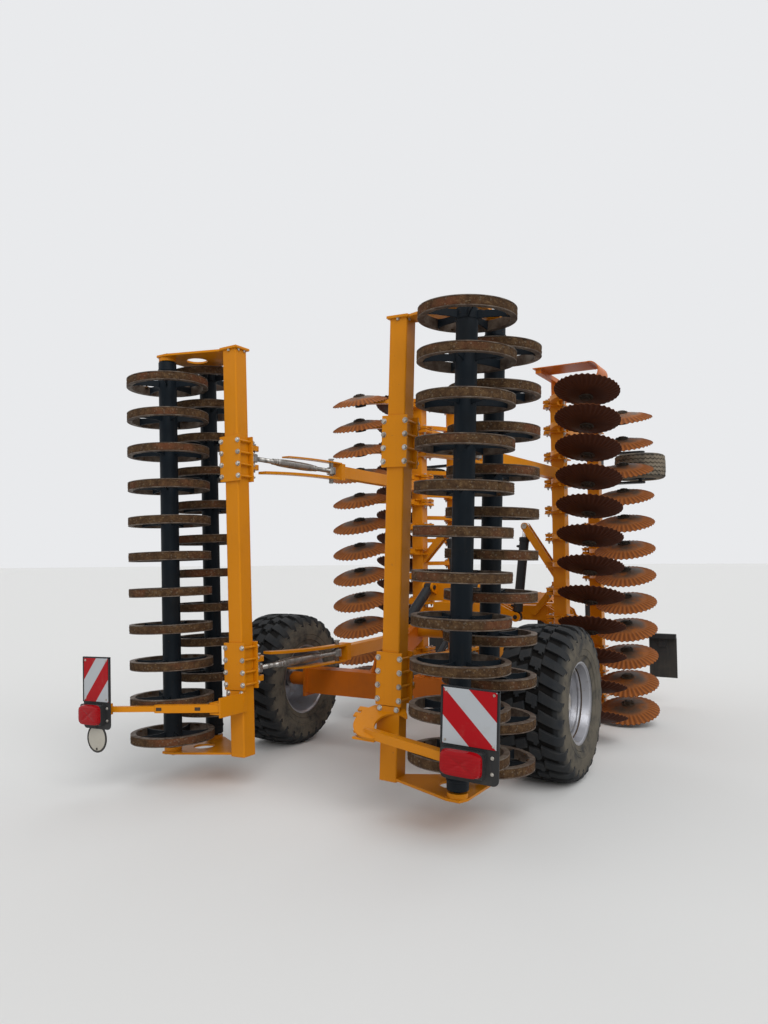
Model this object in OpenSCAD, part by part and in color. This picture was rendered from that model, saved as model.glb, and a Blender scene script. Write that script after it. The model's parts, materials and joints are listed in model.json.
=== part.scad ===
// Trailed compact disc harrow with two hydraulic wings, drawn folded for the road.
// Frame: +Y is the way it is drawn, +X is its right side, +Z is up, and z = 0 is the ground.
// Across the machine, each wing stands upright: what is outward here points down at work.

/* [Discs] */
// Number of discs in each row of a wing
discs_per_row = 12; // [8:1:14]
// Distance between discs in a row
disc_pitch = 250; // [230:5:270]
// Diameter of a disc
disc_d = 560; // [510:10:580]
// Depth of the dish
disc_dish = 70; // [50:5:80]
// Thickness of a disc
disc_t = 6; // [4:1:8]
// Number of notches in the rim of a disc
disc_notches = 36; // [12:2:40]
// Depth of a notch
notch_depth = 6; // [4:1:16]
// Angle between a disc and the way it is drawn
disc_angle = 18; // [12:1:22]
// Distance of the rear row from the centre line
rear_disc_x = 1150; // [1140:5:1170]
// Distance of the front row from the centre line
front_disc_x = 1215; // [1200:5:1230]
// Place of the rear row along the machine
rear_disc_y = 2570; // [2540:10:2600]
// Place of the front row along the machine
front_disc_y = 3525; // [3500:10:3560]
// Height of the lowest rear disc on the right wing
right_rear_z = 240; // [220:5:260]
// Height of the lowest front disc on the right wing
right_front_z = 115; // [110:5:130]
// Length of the bearing housing of a disc
hub_len = 100; // [80:5:120]
// Diameter of the bearing housing of a disc
hub_d = 110; // [90:5:130]
// Radius of a disc arm's bend
arm_bend = 410; // [400:5:420]
// Height of a disc arm's section
arm_t = 42; // [30:2:60]
// Width of a disc arm's section
arm_w = 64; // [50:2:80]

/* [Wing] */
// Width of the square beams of the wings
beam_w = 120; // [110:5:130]
// Distance of the hinge axis from the centre line
hinge_x = 670; // [665:1:675]
// Height of the hinge axis
hinge_z = 850; // [845:1:860]
// Diameter of a hinge pin
hinge_pin_d = 50; // [40:5:60]
// Distance from the rear beam back to the arms' bend centre
beam_setback = 80; // [75:5:90]
// Width of the wing's cross members
cross_w = 90; // [70:5:100]

/* [Roller] */
// Number of rings on a roller
ring_count = 11; // [8:1:13]
// Diameter of a ring
ring_d = 572; // [540:2:580]
// Width of a ring's channel
ring_w = 60; // [50:2:70]
// Depth of a ring's channel
ring_depth = 36; // [24:2:44]
// Thickness of a ring's steel
ring_t = 6; // [4:1:8]
// Number of spokes in a ring
spoke_count = 5; // [4:1:6]
// Diameter of a roller's tube
tube_d = 127; // [114:1:140]
// Distance between the two roller axes
roller_gap = 420; // [410:5:440]
// Distance of the roller axes from the centre line
roller_x = 1148; // [1140:2:1160]
// Distance of the roller beam from the centre line
roller_beam_x = 640; // [630:2:650]
// Lean of a folded roller outward
roller_lean = 2; // [0:0.5:2.5]
// Height of the lower end of the roller beam
beam_bottom = 235; // [230:1:240]
// Height of the upper end of the roller beam
beam_top = 3060; // [2900:10:3100]
// Distance of the grid of rings from the lower end of the roller beam
ring_start = 257; // [250:1:260]

/* [Wheels] */
// Diameter of a transport tyre
tyre_d = 1080; // [1040:10:1120]
// Width of a transport tyre
tyre_w = 480; // [420:10:500]
// Diameter of a transport rim
rim_d = 590; // [560:5:620]
// Distance of a transport wheel from the centre line
wheel_x = 1180; // [1170:5:1190]
// Place of the axle along the machine
axle_y = 1390; // [1380:5:1400]
// Diameter of a support tyre
support_d = 500; // [460:10:500]
// Width of a support tyre
support_w = 250; // [200:10:260]

/* [Chassis] */
// Length from the rear roller axis to the hitch eye
hitch_y = 6820; // [6500:20:7000]
// Height of the hitch eye
hitch_z = 480; // [440:10:520]
// Bore of the hitch eye
hitch_bore = 50; // [40:1:52]
// Width of the main beam
main_w = 200; // [160:10:220]
// Height of the main beam
main_h = 220; // [180:10:240]
// Height of the axle beam
axle_h = 200; // [180:5:220]
// Width of the axle beam
axle_w = 160; // [140:5:180]

/* [Hidden] */
$fn = 48;
RIGHT = 1;
LEFT = -1;
REAR = 0;
FRONT = 1;
paint = "orange";
shade = "darkorange";
steel = "silver";
dark = "dimgray";
// Gap between a piece and its seat where no flat faces meet
seat = 0.3;
plate = 15;
// Play between a pin and its bore
fit = 0.05;

// Rows of discs: place, lowest disc and the way the hollow side faces, for each side
hinge_step = hinge_z - hinge_x;
function low_z(s, row) =
    let (right = row == REAR ? right_rear_z : right_front_z)
    s == RIGHT ? right : disc_pitch + 2 * hinge_step - right;
function row_x(row) = row == REAR ? rear_disc_x : front_disc_x;
function row_y(row) = row == REAR ? rear_disc_y : front_disc_y;
function disc_z(s, row, i) = low_z(s, row) + i * disc_pitch;
function hollow_up(s, row) = (row == REAR) == (s == RIGHT);
function beam_x(row) = row_x(row) - arm_bend;
function beam_y(row) = row_y(row) + arm_bend + beam_setback;
function beam_low(s, row) = low_z(s, row) - 70;
function beam_high(s, row) = disc_z(s, row, discs_per_row - 1) + 75;

// Roller: rings of the two rollers stand half a pitch apart
lean_z = 1700;
shaft_d = 50;
beam_span = [beam_bottom, beam_top];
roller_low = beam_bottom + 65;
roller_high = beam_top - 35;
ring_pitch = (roller_high - ring_w / 2 - 3 - beam_bottom - ring_start) / (ring_count - 1);
roller_beam_y = 150;
function ring_z(s, row, i) = beam_bottom + ring_start - ((row == REAR) == (s == RIGHT) ? 0 : ring_pitch / 2) + i * ring_pitch;
function roller_y(row) = row == REAR ? 0 : roller_gap;
function arm_z(s, top) = s == RIGHT ? (top ? 2325 : 825) : (top ? 2284 : 784);
function clamp_z(s, top) = s == RIGHT ? (top ? 2296 : 849) : (top ? 2280 : 845);
clamp_h = 320;
function leaning_x(x, z) = x + (z - lean_z) * tan(roller_lean);

// The stretch that reaches a given way to both sides of a place
function span(c, h) = [c - h, c + h];

// Moves what is drawn for the right side to its side and to the middle of the machine
function board_x(s) = s == RIGHT ? [1213, 1530] : [1268, 1520];
function board_y(s) = s == RIGHT ? -340 : -450;
function lamp_x(s) = s == RIGHT ? [1217, 1460] : [1302, 1508];
function board_z(s) = s == RIGHT ? 460 : 473;
function hook_z(s) = s == RIGHT ? 515 : 563;
lamp_depth = 70;
eye_d = 130;
y_mid = (board_y(LEFT) - lamp_depth + hitch_y + eye_d / 2) / 2;
module placed(s = RIGHT) {
    translate([0, -y_mid, 0])
        if (s == RIGHT) children();
        else mirror([1, 0, 0]) children();
}
module leaning() {
    translate([0, 0, lean_z]) rotate([0, roller_lean, 0]) translate([0, 0, -lean_z]) children();
}
module box(x, y, z) {
    translate([x[0], y[0], z[0]]) cube([x[1] - x[0], y[1] - y[0], z[1] - z[0]]);
}
// A square with rounded corners about its middle
module soft_square(w, d, r) {
    square([w - 2 * r, d], center = true);
    square([w, d - 2 * r], center = true);
    for (a = [-1, 1], b = [-1, 1]) translate([a * (w / 2 - r), b * (d / 2 - r)]) circle(r);
}
// A flat bar between two points of a plane, with round ends
module link_2d(a, b, w) {
    d = b - a;
    translate(a) circle(d = w);
    translate(b) circle(d = w);
    translate(a) rotate(atan2(d[1], d[0])) translate([0, 0.5 - w / 2]) square([norm(d), w - 1]);
}
// Turns an outline of the X Z plane into a plate that spans y[0] to y[1]
module across_y(y) {
    translate([0, y[1], 0]) rotate([90, 0, 0]) linear_extrude(y[1] - y[0]) children();
}
module across_x(x) {
    translate([x[0], 0, 0]) rotate([90, 0, 90]) linear_extrude(x[1] - x[0]) children();
}

// Discs
dish_r = (pow(disc_d / 2, 2) + pow(disc_dish, 2)) / (2 * disc_dish);
hollow_r = dish_r - disc_t;
// The flat middle of a disc's hollow side, just wider than the hub that stands on it
disc_flat = -disc_dish + disc_t + hollow_r - sqrt(pow(hollow_r, 2) - pow(hub_d / 2 + 1, 2));
hub_start = disc_flat + seat;
module disc_outline() {
    r = disc_d / 2;
    polygon([for (i = [0:2 * disc_notches - 1])
        let (a = i * 180 / disc_notches, q = i % 2 == 0 ? r : r - notch_depth) [q * cos(a), q * sin(a)]]);
}
module disc() {
    intersection() {
        translate([0, 0, dish_r - disc_dish]) difference() {
            sphere(dish_r);
            sphere(dish_r - disc_t);
        }
        translate([0, 0, -disc_dish - 1]) linear_extrude(disc_dish + 20) disc_outline();
    }
    translate([0, 0, -disc_dish - 8]) cylinder(h = disc_flat + disc_dish + 8, d = hub_d + 8);
}
module on_disc(s, row, i) {
    turn = hollow_up(s, row) ? -disc_angle : -180 + disc_angle;
    translate([row_x(row), row_y(row), disc_z(s, row, i)]) rotate([turn, 0, 0]) children();
}
module discs(s, row) {
    color("sienna") placed(s)
        for (i = [0:discs_per_row - 1]) on_disc(s, row, i) disc();
}
// Plates that clamp a disc's arm to the beam, seen along the beam
module ear_2d() {
    difference() {
        union() {
            translate([-beam_w / 2 - 60, -beam_w / 2 - 20]) square([beam_w + 85, beam_w + 50]);
            translate([-arm_w / 2 - 12, -beam_w / 2 - 100]) square([arm_w + 24, 120]);
            translate([-beam_w / 2 - 60, 5]) circle(d = 60);
        }
        square(beam_w, center = true);
    }
}
module disc_arm_2d() {
    intersection() {
        translate([0, arm_bend]) difference() {
            circle(arm_bend + arm_w / 2, $fn = 96);
            circle(arm_bend - arm_w / 2, $fn = 96);
        }
        translate([-arm_bend - arm_w, -arm_w]) square([arm_bend + arm_w, arm_bend + arm_w]);
    }
    translate([-arm_bend - arm_w / 2, arm_bend - 1])
        square([arm_w, beam_setback - beam_w / 2 + 1]);
}
// Room round a disc's rim, cut from the arm that reaches over it
module rim_room() {
    translate([0, 0, -30]) difference() {
        cylinder(h = 36, r = disc_d / 2 + 9);
        translate([0, 0, -1]) cylinder(h = 38, r = disc_d / 2 - 45);
    }
}
module disc_arms(s, row) {
    ear_t = 12;
    color(paint) placed(s)
        for (i = [0:discs_per_row - 1]) {
            difference() {
                translate([row_x(row), row_y(row), disc_z(s, row, i) - arm_t / 2])
                    linear_extrude(arm_t) disc_arm_2d();
                on_disc(s, row, i) rim_room();
            }
            difference() {
                for (z = [arm_t / 2 - 1, -arm_t / 2 - ear_t + 1])
                    translate([beam_x(row), beam_y(row), disc_z(s, row, i) + z]) linear_extrude(ear_t) ear_2d();
                cross_members(s, 1 + seat);
                if (row == FRONT) support_foot(seat);
                else box([lever_root(s)[0] - 150, cross_x[0] + 1], [lever_y - lever_half - seat, lever_y + 130],
                    span(lever_root(s)[1] + 95, 95));
            }
            on_disc(s, row, i) translate([0, 0, hub_start]) cylinder(h = hub_len, d = hub_d);
        }
}

// Wing frame with its hinge lugs and fold lever
hinge_ys = [3300, 3760];
lug_w = 60;
lever_tip = [400, 1850];
lever_y = beam_y(REAR);
lever_w = 70;
// Half of the lever's thickness along the machine
lever_half = 42;
function lever_root(s) = [beam_x(REAR) - beam_w / 2 + 20, disc_z(s, REAR, 4) + 155];
module wing_beam(s, row) {
    translate([beam_x(row), beam_y(row), beam_low(s, row)])
        linear_extrude(beam_high(s, row) - beam_low(s, row)) soft_square(beam_w, beam_w, 8);
}
function cross_zs(s) = [hinge_z, disc_z(s, REAR, s == RIGHT ? 5 : 4), disc_z(s, REAR, 10)];
function beam_face(row, side) = beam_y(row) + side * beam_w / 2;
// The member at the hinge narrows where an arm of the front row passes
module cross_members(s, grow = 1) {
    narrow = front_disc_x - arm_bend - arm_w / 2 - 5;
    neck = 3700;
    for (z = cross_zs(s)) {
        box(cross_x, [beam_face(REAR, 1) - grow, z == hinge_z ? neck : beam_face(FRONT, -1) + grow], span(z, cross_w / 2));
        if (z == hinge_z) box([cross_x[0], narrow], [neck - 1, beam_face(FRONT, -1) + grow], span(z, cross_w / 2));
    }
}
cross_x = [hinge_x + 55, hinge_x + 55 + cross_w];
module wing_frame(s) {
    color(paint) placed(s) difference() {
        union() {
            wing_beam(s, REAR);
            wing_beam(s, FRONT);
            cross_members(s);
            for (y = hinge_ys) across_y(span(y, lug_w / 2)) {
                translate([hinge_x, hinge_z]) circle(d = 2 * hinge_pin_d - 10);
                translate([hinge_x, hinge_z - cross_w / 2]) square([80, cross_w]);
            }
            for (side = [-1, 1]) across_y(span(lever_y + side * (lever_half - 8), 8))
                link_2d(lever_tip, lever_root(s), lever_w);
            across_y(span(lever_y, 27))
                link_2d(lever_tip + 0.42 * (lever_root(s) - lever_tip), lever_root(s), lever_w - 24);
        }
        for (y = hinge_ys) translate([hinge_x, y, hinge_z]) rotate([90, 0, 0])
            cylinder(h = lug_w + 2, d = hinge_pin_d + 2 * fit, center = true);
    }
}

// Central frame
main_z = [950, 950 + main_h];
main_y = [2080, 4340];
anchor = [300, 990];
swing_y = 2230;
swing_z = 900;
swing_x = 330;
module clevis_2d() {
    difference() {
        union() {
            translate([hinge_x, hinge_z]) circle(d = 90);
            polygon([[hinge_x - 30, hinge_z - 10], [hinge_x + 20, hinge_z + 20], [hinge_x - 40, hinge_z + 180],
                [hinge_x - 160, hinge_z + 250], [hinge_x - 200, hinge_z + 240], [hinge_x - 200, hinge_z + 95]]);
        }
    }
}
module chassis_frame() {
    color(paint) placed() {
        box([-main_w / 2, main_w / 2], main_y, main_z);
        for (y = hinge_ys) {
            box([-540, 540], [y - 75, y + 75], [main_z[0], main_z[0] + 140]);
            for (s = [RIGHT, LEFT], side = [-1, 1]) {
                across_y(span(y + side * (lug_w / 2 + 5 + plate / 2), plate / 2))
                    if (s == RIGHT) clevis_2d();
                    else mirror([1, 0]) clevis_2d();
            }
            for (s = [RIGHT, LEFT]) translate([s * hinge_x, y, hinge_z]) rotate([90, 0, 0])
                cylinder(h = lug_w + 10 + 2 * plate + 30, d = hinge_pin_d, center = true);
        }
        for (s = [RIGHT, LEFT]) difference() {
            for (side = [-1, 1]) across_y(span(lever_y + side * 45, 9))
                if (s == RIGHT) anchor_2d();
                else mirror([1, 0]) anchor_2d();
            translate([s * anchor[0], lever_y, anchor[1]]) rotate([90, 0, 0])
                cylinder(h = 120, d = 40 + 2 * fit, center = true);
        }
        for (s = [RIGHT, LEFT]) {
            across_y([rest_y, rest_y + 50])
                if (s == RIGHT) rest_2d();
                else mirror([1, 0]) rest_2d();
            box(span(s * 652, 22), [lever_y + barrel_d / 2 + 6, rest_y + 40], span(rest_z, 18));
        }
        lift_tower();
        translate([0, swing_y, swing_z]) rotate([0, 90, 0]) cylinder(h = 2 * swing_x + 60, d = 110, center = true);
        for (s = [-1, 1]) across_x(span(s * 70, 15)) polygon([[swing_y - 90, main_z[0] + 2],
            [swing_y + 180, main_z[0] + 2], [swing_y + 50, swing_z - 40], [swing_y - 50, swing_z - 40]]);
    }
}
// Tower that the lift cylinders push against
module lift_tower() {
    back = lift_high[0] + 55;
    box([-lift_x - 50, lift_x + 50], [back, back + 70], [main_z[1] - 2, lift_high[1] + 45]);
    for (s = [-1, 1], t = [-1, 1]) difference() {
        across_x(span(s * lift_x + t * 42, 8)) {
            translate(lift_high) circle(d = 90);
            polygon([[lift_high[0] + 6, lift_high[1] - 40], [back + 1, lift_high[1] - 70], [back + 1, lift_high[1] + 40],
                [lift_high[0] + 6, lift_high[1] + 40]]);
        }
        translate([s * lift_x, lift_high[0], lift_high[1]]) rotate([0, 90, 0]) cylinder(h = 120, d = 40, center = true);
    }
    across_x(span(0, main_w / 4)) polygon([[back + 69, main_z[1] - 2], [back + 330, main_z[1] - 2], [back + 69, lift_high[1] - 10]]);
}
// Strut that the folded wing's beam leans on
rest_y = 3180;
barrel_d = 90;
rest_z = 1305;
module rest_2d() {
    link_2d([430, 1030], [645, rest_z - 8], 56);
}
module anchor_2d() {
    translate(anchor) circle(d = 90);
    polygon([[main_w / 2 - 2, main_z[0] + 10], [anchor[0], anchor[1] - 36], [anchor[0] + 10, anchor[1] + 36],
        [main_w / 2 - 2, main_z[1] - 40]]);
}

// Axle with its swing arms, and the two cylinders that lift the machine
axle_z = tyre_d / 2;
spindle_d = 70;
lift_x = 230;
lift_low = [axle_y + 30, axle_z + 190];
lift_high = [swing_y + 30, 1290];
module axle_beam() {
    color(shade) placed() {
        box([-900, 900], [axle_y - axle_w / 2, axle_y + axle_w / 2], [axle_z - axle_h / 2, axle_z + axle_h / 2]);
        for (s = [-1, 1]) {
            box(span(s * 905, 10), span(axle_y, 110), span(axle_z, 125));
            translate([s * 998, axle_y, axle_z]) rotate([0, 90, 0]) cylinder(h = 180, d = 110, center = true);
            translate([s * (wheel_x - 20), axle_y, axle_z]) rotate([0, 90, 0])
                cylinder(h = 160, d = spindle_d, center = true);
            difference() {
                across_x(span(s * swing_x, 25)) union() {
                    polygon([[axle_y - 70, axle_z + 60], [axle_y + 79, axle_z - 60], [swing_y + 20, swing_z - 90],
                        [swing_y + 85, swing_z], [swing_y, swing_z + 85], [swing_y - 60, swing_z + 60]]);
                    translate([swing_y, swing_z]) circle(d = 170);
                }
                translate([s * swing_x, swing_y, swing_z]) rotate([0, 90, 0])
                    cylinder(h = 80, d = 110, center = true);
            }
            for (t = [-1, 1]) difference() {
                across_x(span(s * lift_x + t * 42, 8)) {
                    translate(lift_low) circle(d = 90);
                    polygon([[axle_y - 60, axle_z + axle_h / 2 - 2], [axle_y + 79, axle_z + axle_h / 2 - 2],
                        [lift_low[0] + 45, lift_low[1]], [lift_low[0] - 45, lift_low[1]]]);
                }
                translate([s * lift_x, lift_low[0], lift_low[1]]) rotate([0, 90, 0])
                    cylinder(h = 120, d = 40, center = true);
            }
        }
    }
}
module along_yz(a, b) {
    d = b - a;
    translate([0, a[0], a[1]]) rotate([-atan2(d[0], d[1]), 0, 0]) children();
}
module lift_cylinders() {
    len = norm(lift_high - lift_low);
    color(dark) placed() for (s = [-1, 1]) translate([s * lift_x, 0, 0]) {
        along_yz(lift_low, lift_high) {
            cylinder(h = len - 20, d = 40);
            translate([0, 0, len - 480]) cylinder(h = 420, d = 90);
            translate([0, 0, len - 61]) cylinder(h = 41, d = 60);
        }
        for (p = [lift_low, lift_high]) translate([0, p[0], p[1]]) rotate([0, 90, 0]) {
            cylinder(h = 64, d = 80, center = true);
            cylinder(h = 120, d = 40, center = true);
        }
    }
}

// Drawbar, hitch eye and parking jack
bar_start = [4400, 1060];
bar_end = [6600, hitch_z + 20];
jack_y = 5900;
// Height of the drawbar's underside
function bar_under(y) = main_z[0] - 40 - (y - bar_start[0] - 150) * (main_z[0] - 40 - bar_end[1] + 80) / (bar_end[0] - bar_start[0] - 150);
jack_x = 190;
module drawbar() {
    color(paint) placed() {
        across_x([-80, 80]) polygon([[bar_start[0] - 60, main_z[0] + 10], [bar_start[0] + 150, main_z[0] - 40],
            [bar_end[0], bar_end[1] - 80], [bar_end[0], bar_end[1] + 70], [bar_start[0] + 250, main_z[1] - 20],
            [bar_start[0] - 60, main_z[1] - 10]]);
        for (s = [-1, 1]) linear_extrude_bar(s);
        box([-110, 110], [bar_end[0] - 2, bar_end[0] + 25], [bar_end[1] - 110, bar_end[1] + 110]);
        box([75, jack_x - 45], [jack_y - 50, jack_y + 50], [jack_holder_z - 60, jack_holder_z + 60]);
    }
}
jack_holder_z = 640;
module linear_extrude_bar(s) {
    translate([0, 0, main_z[0] + 30]) linear_extrude(80)
        if (s > 0) brace_2d();
        else mirror([1, 0]) brace_2d();
}
// Ends of the two braces: along the drawbar, and across the front hinge's beam
brace_on_bar = [4800, 4950];
brace_on_beam = [430, 530];
module brace_2d() {
    rear = hinge_ys[1] + 75 + seat;
    polygon([[60, brace_on_bar[1]], [60, brace_on_bar[0]], [brace_on_beam[0], rear], [brace_on_beam[1], rear],
        [100, brace_on_bar[1]]]);
}
module hitch_eye() {
    color(dark) placed() translate([0, 0, bar_end[1]]) difference() {
        union() {
            box([-90, 90], [bar_end[0] + 25, bar_end[0] + 55], [-90, 90]);
            translate([0, bar_end[0] + 50, 0]) rotate([-90, 0, 0]) cylinder(h = hitch_y - bar_end[0] - 90, d = 70);
            translate([0, hitch_y, 0]) cylinder(h = 50, d = eye_d, center = true);
        }
        translate([0, hitch_y, 0]) cylinder(h = 60, d = hitch_bore, center = true);
    }
}
module jack_leg() {
    color(dark) placed() translate([jack_x, jack_y, 0]) {
        translate([0, 0, 330]) difference() {
            linear_extrude(620) soft_square(90, 90, 6);
            translate([0, 0, -1]) linear_extrude(560) square(70, center = true);
        }
        translate([0, 0, 940]) cylinder(h = 40, d = 40);
        translate([0, 0, 965]) rotate([90, 0, 0]) cylinder(h = 160, d = 20);
    }
}
module jack_foot() {
    color(steel) placed() translate([jack_x, jack_y, 0]) {
        cylinder(h = 12, d = 240);
        translate([0, 0, 11]) linear_extrude(665) square(69, center = true);
    }
}

// Warning boards at the front, on arms from the drawbar
front_board_y = 4620;
front_bar_x = 1460;
front_bar_z = [690, 740];
front_board_half = 140;
module front_boards() {
    color(dark) placed() {
        box([-front_bar_x, front_bar_x], [front_board_y - 25, front_board_y + 25], front_bar_z);
        for (s = [-1, 1]) {
            middle = s * (front_bar_x - front_board_half);
            box(span(middle, front_board_half), [front_board_y + 24, front_board_y + 34], [280, front_bar_z[0] + 10]);
            box(span(middle, 40), [front_board_y + 10, front_board_y + 25], [600, front_bar_z[0] + 10]);
        }
        across_x([-40, 40]) polygon([[front_board_y - 30, front_bar_z[1] - 5], [front_board_y + 30, front_bar_z[1] - 5],
            [front_board_y + 30, bar_under(front_board_y + 30) - seat], [front_board_y - 30, bar_under(front_board_y - 30) - seat]]);
    }
}

// Transport wheels
module wheel_rim(s) {
    color(steel) placed(s) translate([wheel_x, axle_y, axle_z]) rotate([0, 90, 0]) difference() {
        union() {
        rotate_extrude($fn = 96) polygon([[rim_d / 2 - 28, -tyre_w / 2 + 40], [rim_d / 2 - 18, -tyre_w / 2 + 30],
            [rim_d / 2 + 8, -tyre_w / 2 + 30], [rim_d / 2 + 8, -tyre_w / 2 + 36], [rim_d / 2 - 10, -tyre_w / 2 + 60],
            [rim_d / 2 - 60, -60], [rim_d / 2 - 60, 60], [rim_d / 2 - 10, tyre_w / 2 - 60],
            [rim_d / 2 + 8, tyre_w / 2 - 36], [rim_d / 2 + 8, tyre_w / 2 - 30], [rim_d / 2 - 18, tyre_w / 2 - 30],
            [rim_d / 2 - 28, tyre_w / 2 - 40], [rim_d / 2 - 70, 60], [rim_d / 2 - 70, 44], [90, 44], [90, 30],
            [rim_d / 2 - 70, 30], [rim_d / 2 - 70, -60]]);
        translate([0, 0, 28]) cylinder(h = 18, d = 182);
        translate([0, 0, -70]) cylinder(h = 180, d = 150);
        }
        translate([0, 0, -71]) cylinder(h = 136, d = spindle_d + 2 * fit);
    }
}
module wheel_tyre(s) {
    r = tyre_d / 2;
    w = tyre_w / 2;
    b = rim_d / 2;
    color("black") placed(s) translate([wheel_x, axle_y, axle_z]) rotate([0, 90, 0])
        rotate_extrude($fn = 96) difference() {
            polygon([[b - 10, -w + 60], [b + 8, -w + 36], [b + 25, -w + 14], [b + 110, -w], [r - 70, -w + 4],
                [r - 22, -w + 22], [r - 6, -w + 60], [r, 0], [r - 6, w - 60], [r - 22, w - 22], [r - 70, w - 4],
                [b + 110, w], [b + 25, w - 14], [b + 8, w - 36], [b - 10, w - 60], [b - 60, 60], [b - 60, -60]]);
        }
}

// Roller with its frame
module ring() {
    base = ring_d / 2 - ring_depth;
    rotate_extrude($fn = 96) polygon([[base, 0], [ring_d / 2, 0], [ring_d / 2, ring_t], [base + ring_t, ring_t],
        [base + ring_t, ring_w - ring_t], [ring_d / 2, ring_w - ring_t], [ring_d / 2, ring_w], [base, ring_w]]);
    translate([0, 0, 5]) linear_extrude(ring_w - 10)
        for (a = [0:spoke_count - 1]) rotate(a * 360 / spoke_count)
            translate([tube_d / 2 - 3, -5]) square([base - tube_d / 2 + 3.5, 10]);
}
module roller(s, row) {
    color("darkslategray") placed(s) leaning() translate([roller_x, roller_y(row), 0]) {
        translate([0, 0, roller_low]) cylinder(h = roller_high - roller_low, d = tube_d);
        translate([0, 0, roller_low - 34]) cylinder(h = roller_high - roller_low + 62, d = shaft_d);
        for (i = [0:ring_count - 1]) translate([0, 0, ring_z(s, row, i) - ring_w / 2]) ring();
    }
}
module roller_beam(s) {
    color(paint) placed(s) leaning() translate([roller_beam_x, roller_beam_y, beam_span[0]])
        linear_extrude(beam_span[1] - beam_span[0]) soft_square(beam_w, beam_w, 10);
}
// End plate: from the beam out over both roller axes
module roller_end_2d() {
    difference() {
        union() {
            polygon([[roller_beam_x - 60, roller_beam_y - 60], [roller_beam_x + 60, roller_beam_y - 60],
                [roller_x - 40, -65], [roller_x + 40, -65], [roller_x + 65, 0], [roller_x + 65, roller_gap],
                [roller_x + 40, roller_gap + 65], [roller_x - 40, roller_gap + 65],
                [roller_beam_x + 60, roller_beam_y + 60], [roller_beam_x - 60, roller_beam_y + 60]]);
        }
        translate([roller_x - 120, roller_beam_y + 30]) circle(d = 150);
    }
}
bearing_h = 26;
end_zs = [beam_span[0] + 10, beam_span[1] - 1];
module roller_ends(s) {
    bearing_z = [end_zs[0] + plate, end_zs[1] - bearing_h];
    color(paint) placed(s) leaning() {
        difference() {
            for (z = end_zs) translate([0, 0, z]) linear_extrude(plate) roller_end_2d();
            translate([roller_beam_x, roller_beam_y, 0]) linear_extrude(beam_span[1])
                square(beam_w, center = true);
        }
        for (row = [REAR, FRONT], z = bearing_z) translate([roller_x, roller_y(row), z - 1]) difference() {
            cylinder(h = bearing_h + 2, d = 120);
            translate([0, 0, z < lean_z ? 3 : -1]) cylinder(h = bearing_h, d = shaft_d + 2 * fit);
        }
    }
}
arm_h = 100;
lug_start = roller_beam_y + beam_w / 2 + plate;
prong_root = 1400;
// A bar that bends gently, seen from the side: its middle at the root and at the free end, its thickness and its length
module prong_2d(root, tip, t, reach) {
    turn = tip > root ? 1 : -1;
    r = (pow(reach, 2) + pow(tip - root, 2)) / abs(tip - root) / 2;
    intersection() {
        translate([prong_root, root + turn * r]) difference() {
            circle(r + t / 2);
            circle(r - t / 2);
        }
        translate([prong_root - reach, root - 90]) square([reach + 45, 180]);
    }
}
module roller_arms(s) {
    color(paint) placed(s) for (top = [false, true]) {
        z = arm_z(s, top);
        x = leaning_x(roller_beam_x, z);
        end = beam_y(REAR) - beam_w / 2;
        way = top ? 1 : -1;
        leaning() for (y = [roller_beam_y - beam_w / 2 - plate, roller_beam_y + beam_w / 2])
            box(span(roller_beam_x, 88), [y, y + plate], span(clamp_z(s, top), clamp_h / 2));
        for (side = [-1, 1]) translate([x, 0, z + side * 68 - 18]) linear_extrude(36) difference() {
            union() {
                translate([-45, lug_start - 1]) square([90, buckle_y[0] - lug_start + 1]);
                translate([0, buckle_y[0]]) circle(d = 90);
            }
            translate([0, buckle_y[0]]) circle(d = 36);
        }
        difference() {
            translate([0, 0, z]) across_x(span(x, 35)) {
                prong_2d(-57 * way, -95 * way, 20, 970);
                prong_2d(73 * way, 52 * way, 12, 690);
            }
            translate([x, buckle_y[1], z]) cylinder(h = 240, d = 36, center = true);
        }
        translate([0, 0, z - arm_h / 2]) linear_extrude(arm_h) polygon([[x - 44, 1450], [x + 44, 1450],
            [beam_x(REAR) + 30, end - 90], [beam_x(REAR) + 30, end], [beam_x(REAR) - 56, end],
            [beam_x(REAR) - 56, end - 90]]);
        translate([0, 0, z - 70]) linear_extrude(140) translate([x - 44, 1420]) square([88, 60]);
    }
}
buckle_y = [320, 1330];
module turnbuckles(s) {
    color(steel) placed(s) for (top = [false, true]) {
        z = arm_z(s, top);
        x = leaning_x(roller_beam_x, z);
        translate([x, 0, z]) {
            for (y = buckle_y) {
                translate([0, y, 0]) cylinder(h = 190, d = 36, center = true);
                translate([0, y, 0]) cylinder(h = 60, d = 76, center = true);
            }
            translate([0, buckle_y[0], 0]) rotate([-90, 0, 0]) cylinder(h = buckle_y[1] - buckle_y[0], d = 36);
            translate([0, buckle_y[0] + 230, 0]) rotate([-90, 0, 0]) cylinder(h = 560, d = 64);
        }
    }
}

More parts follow.
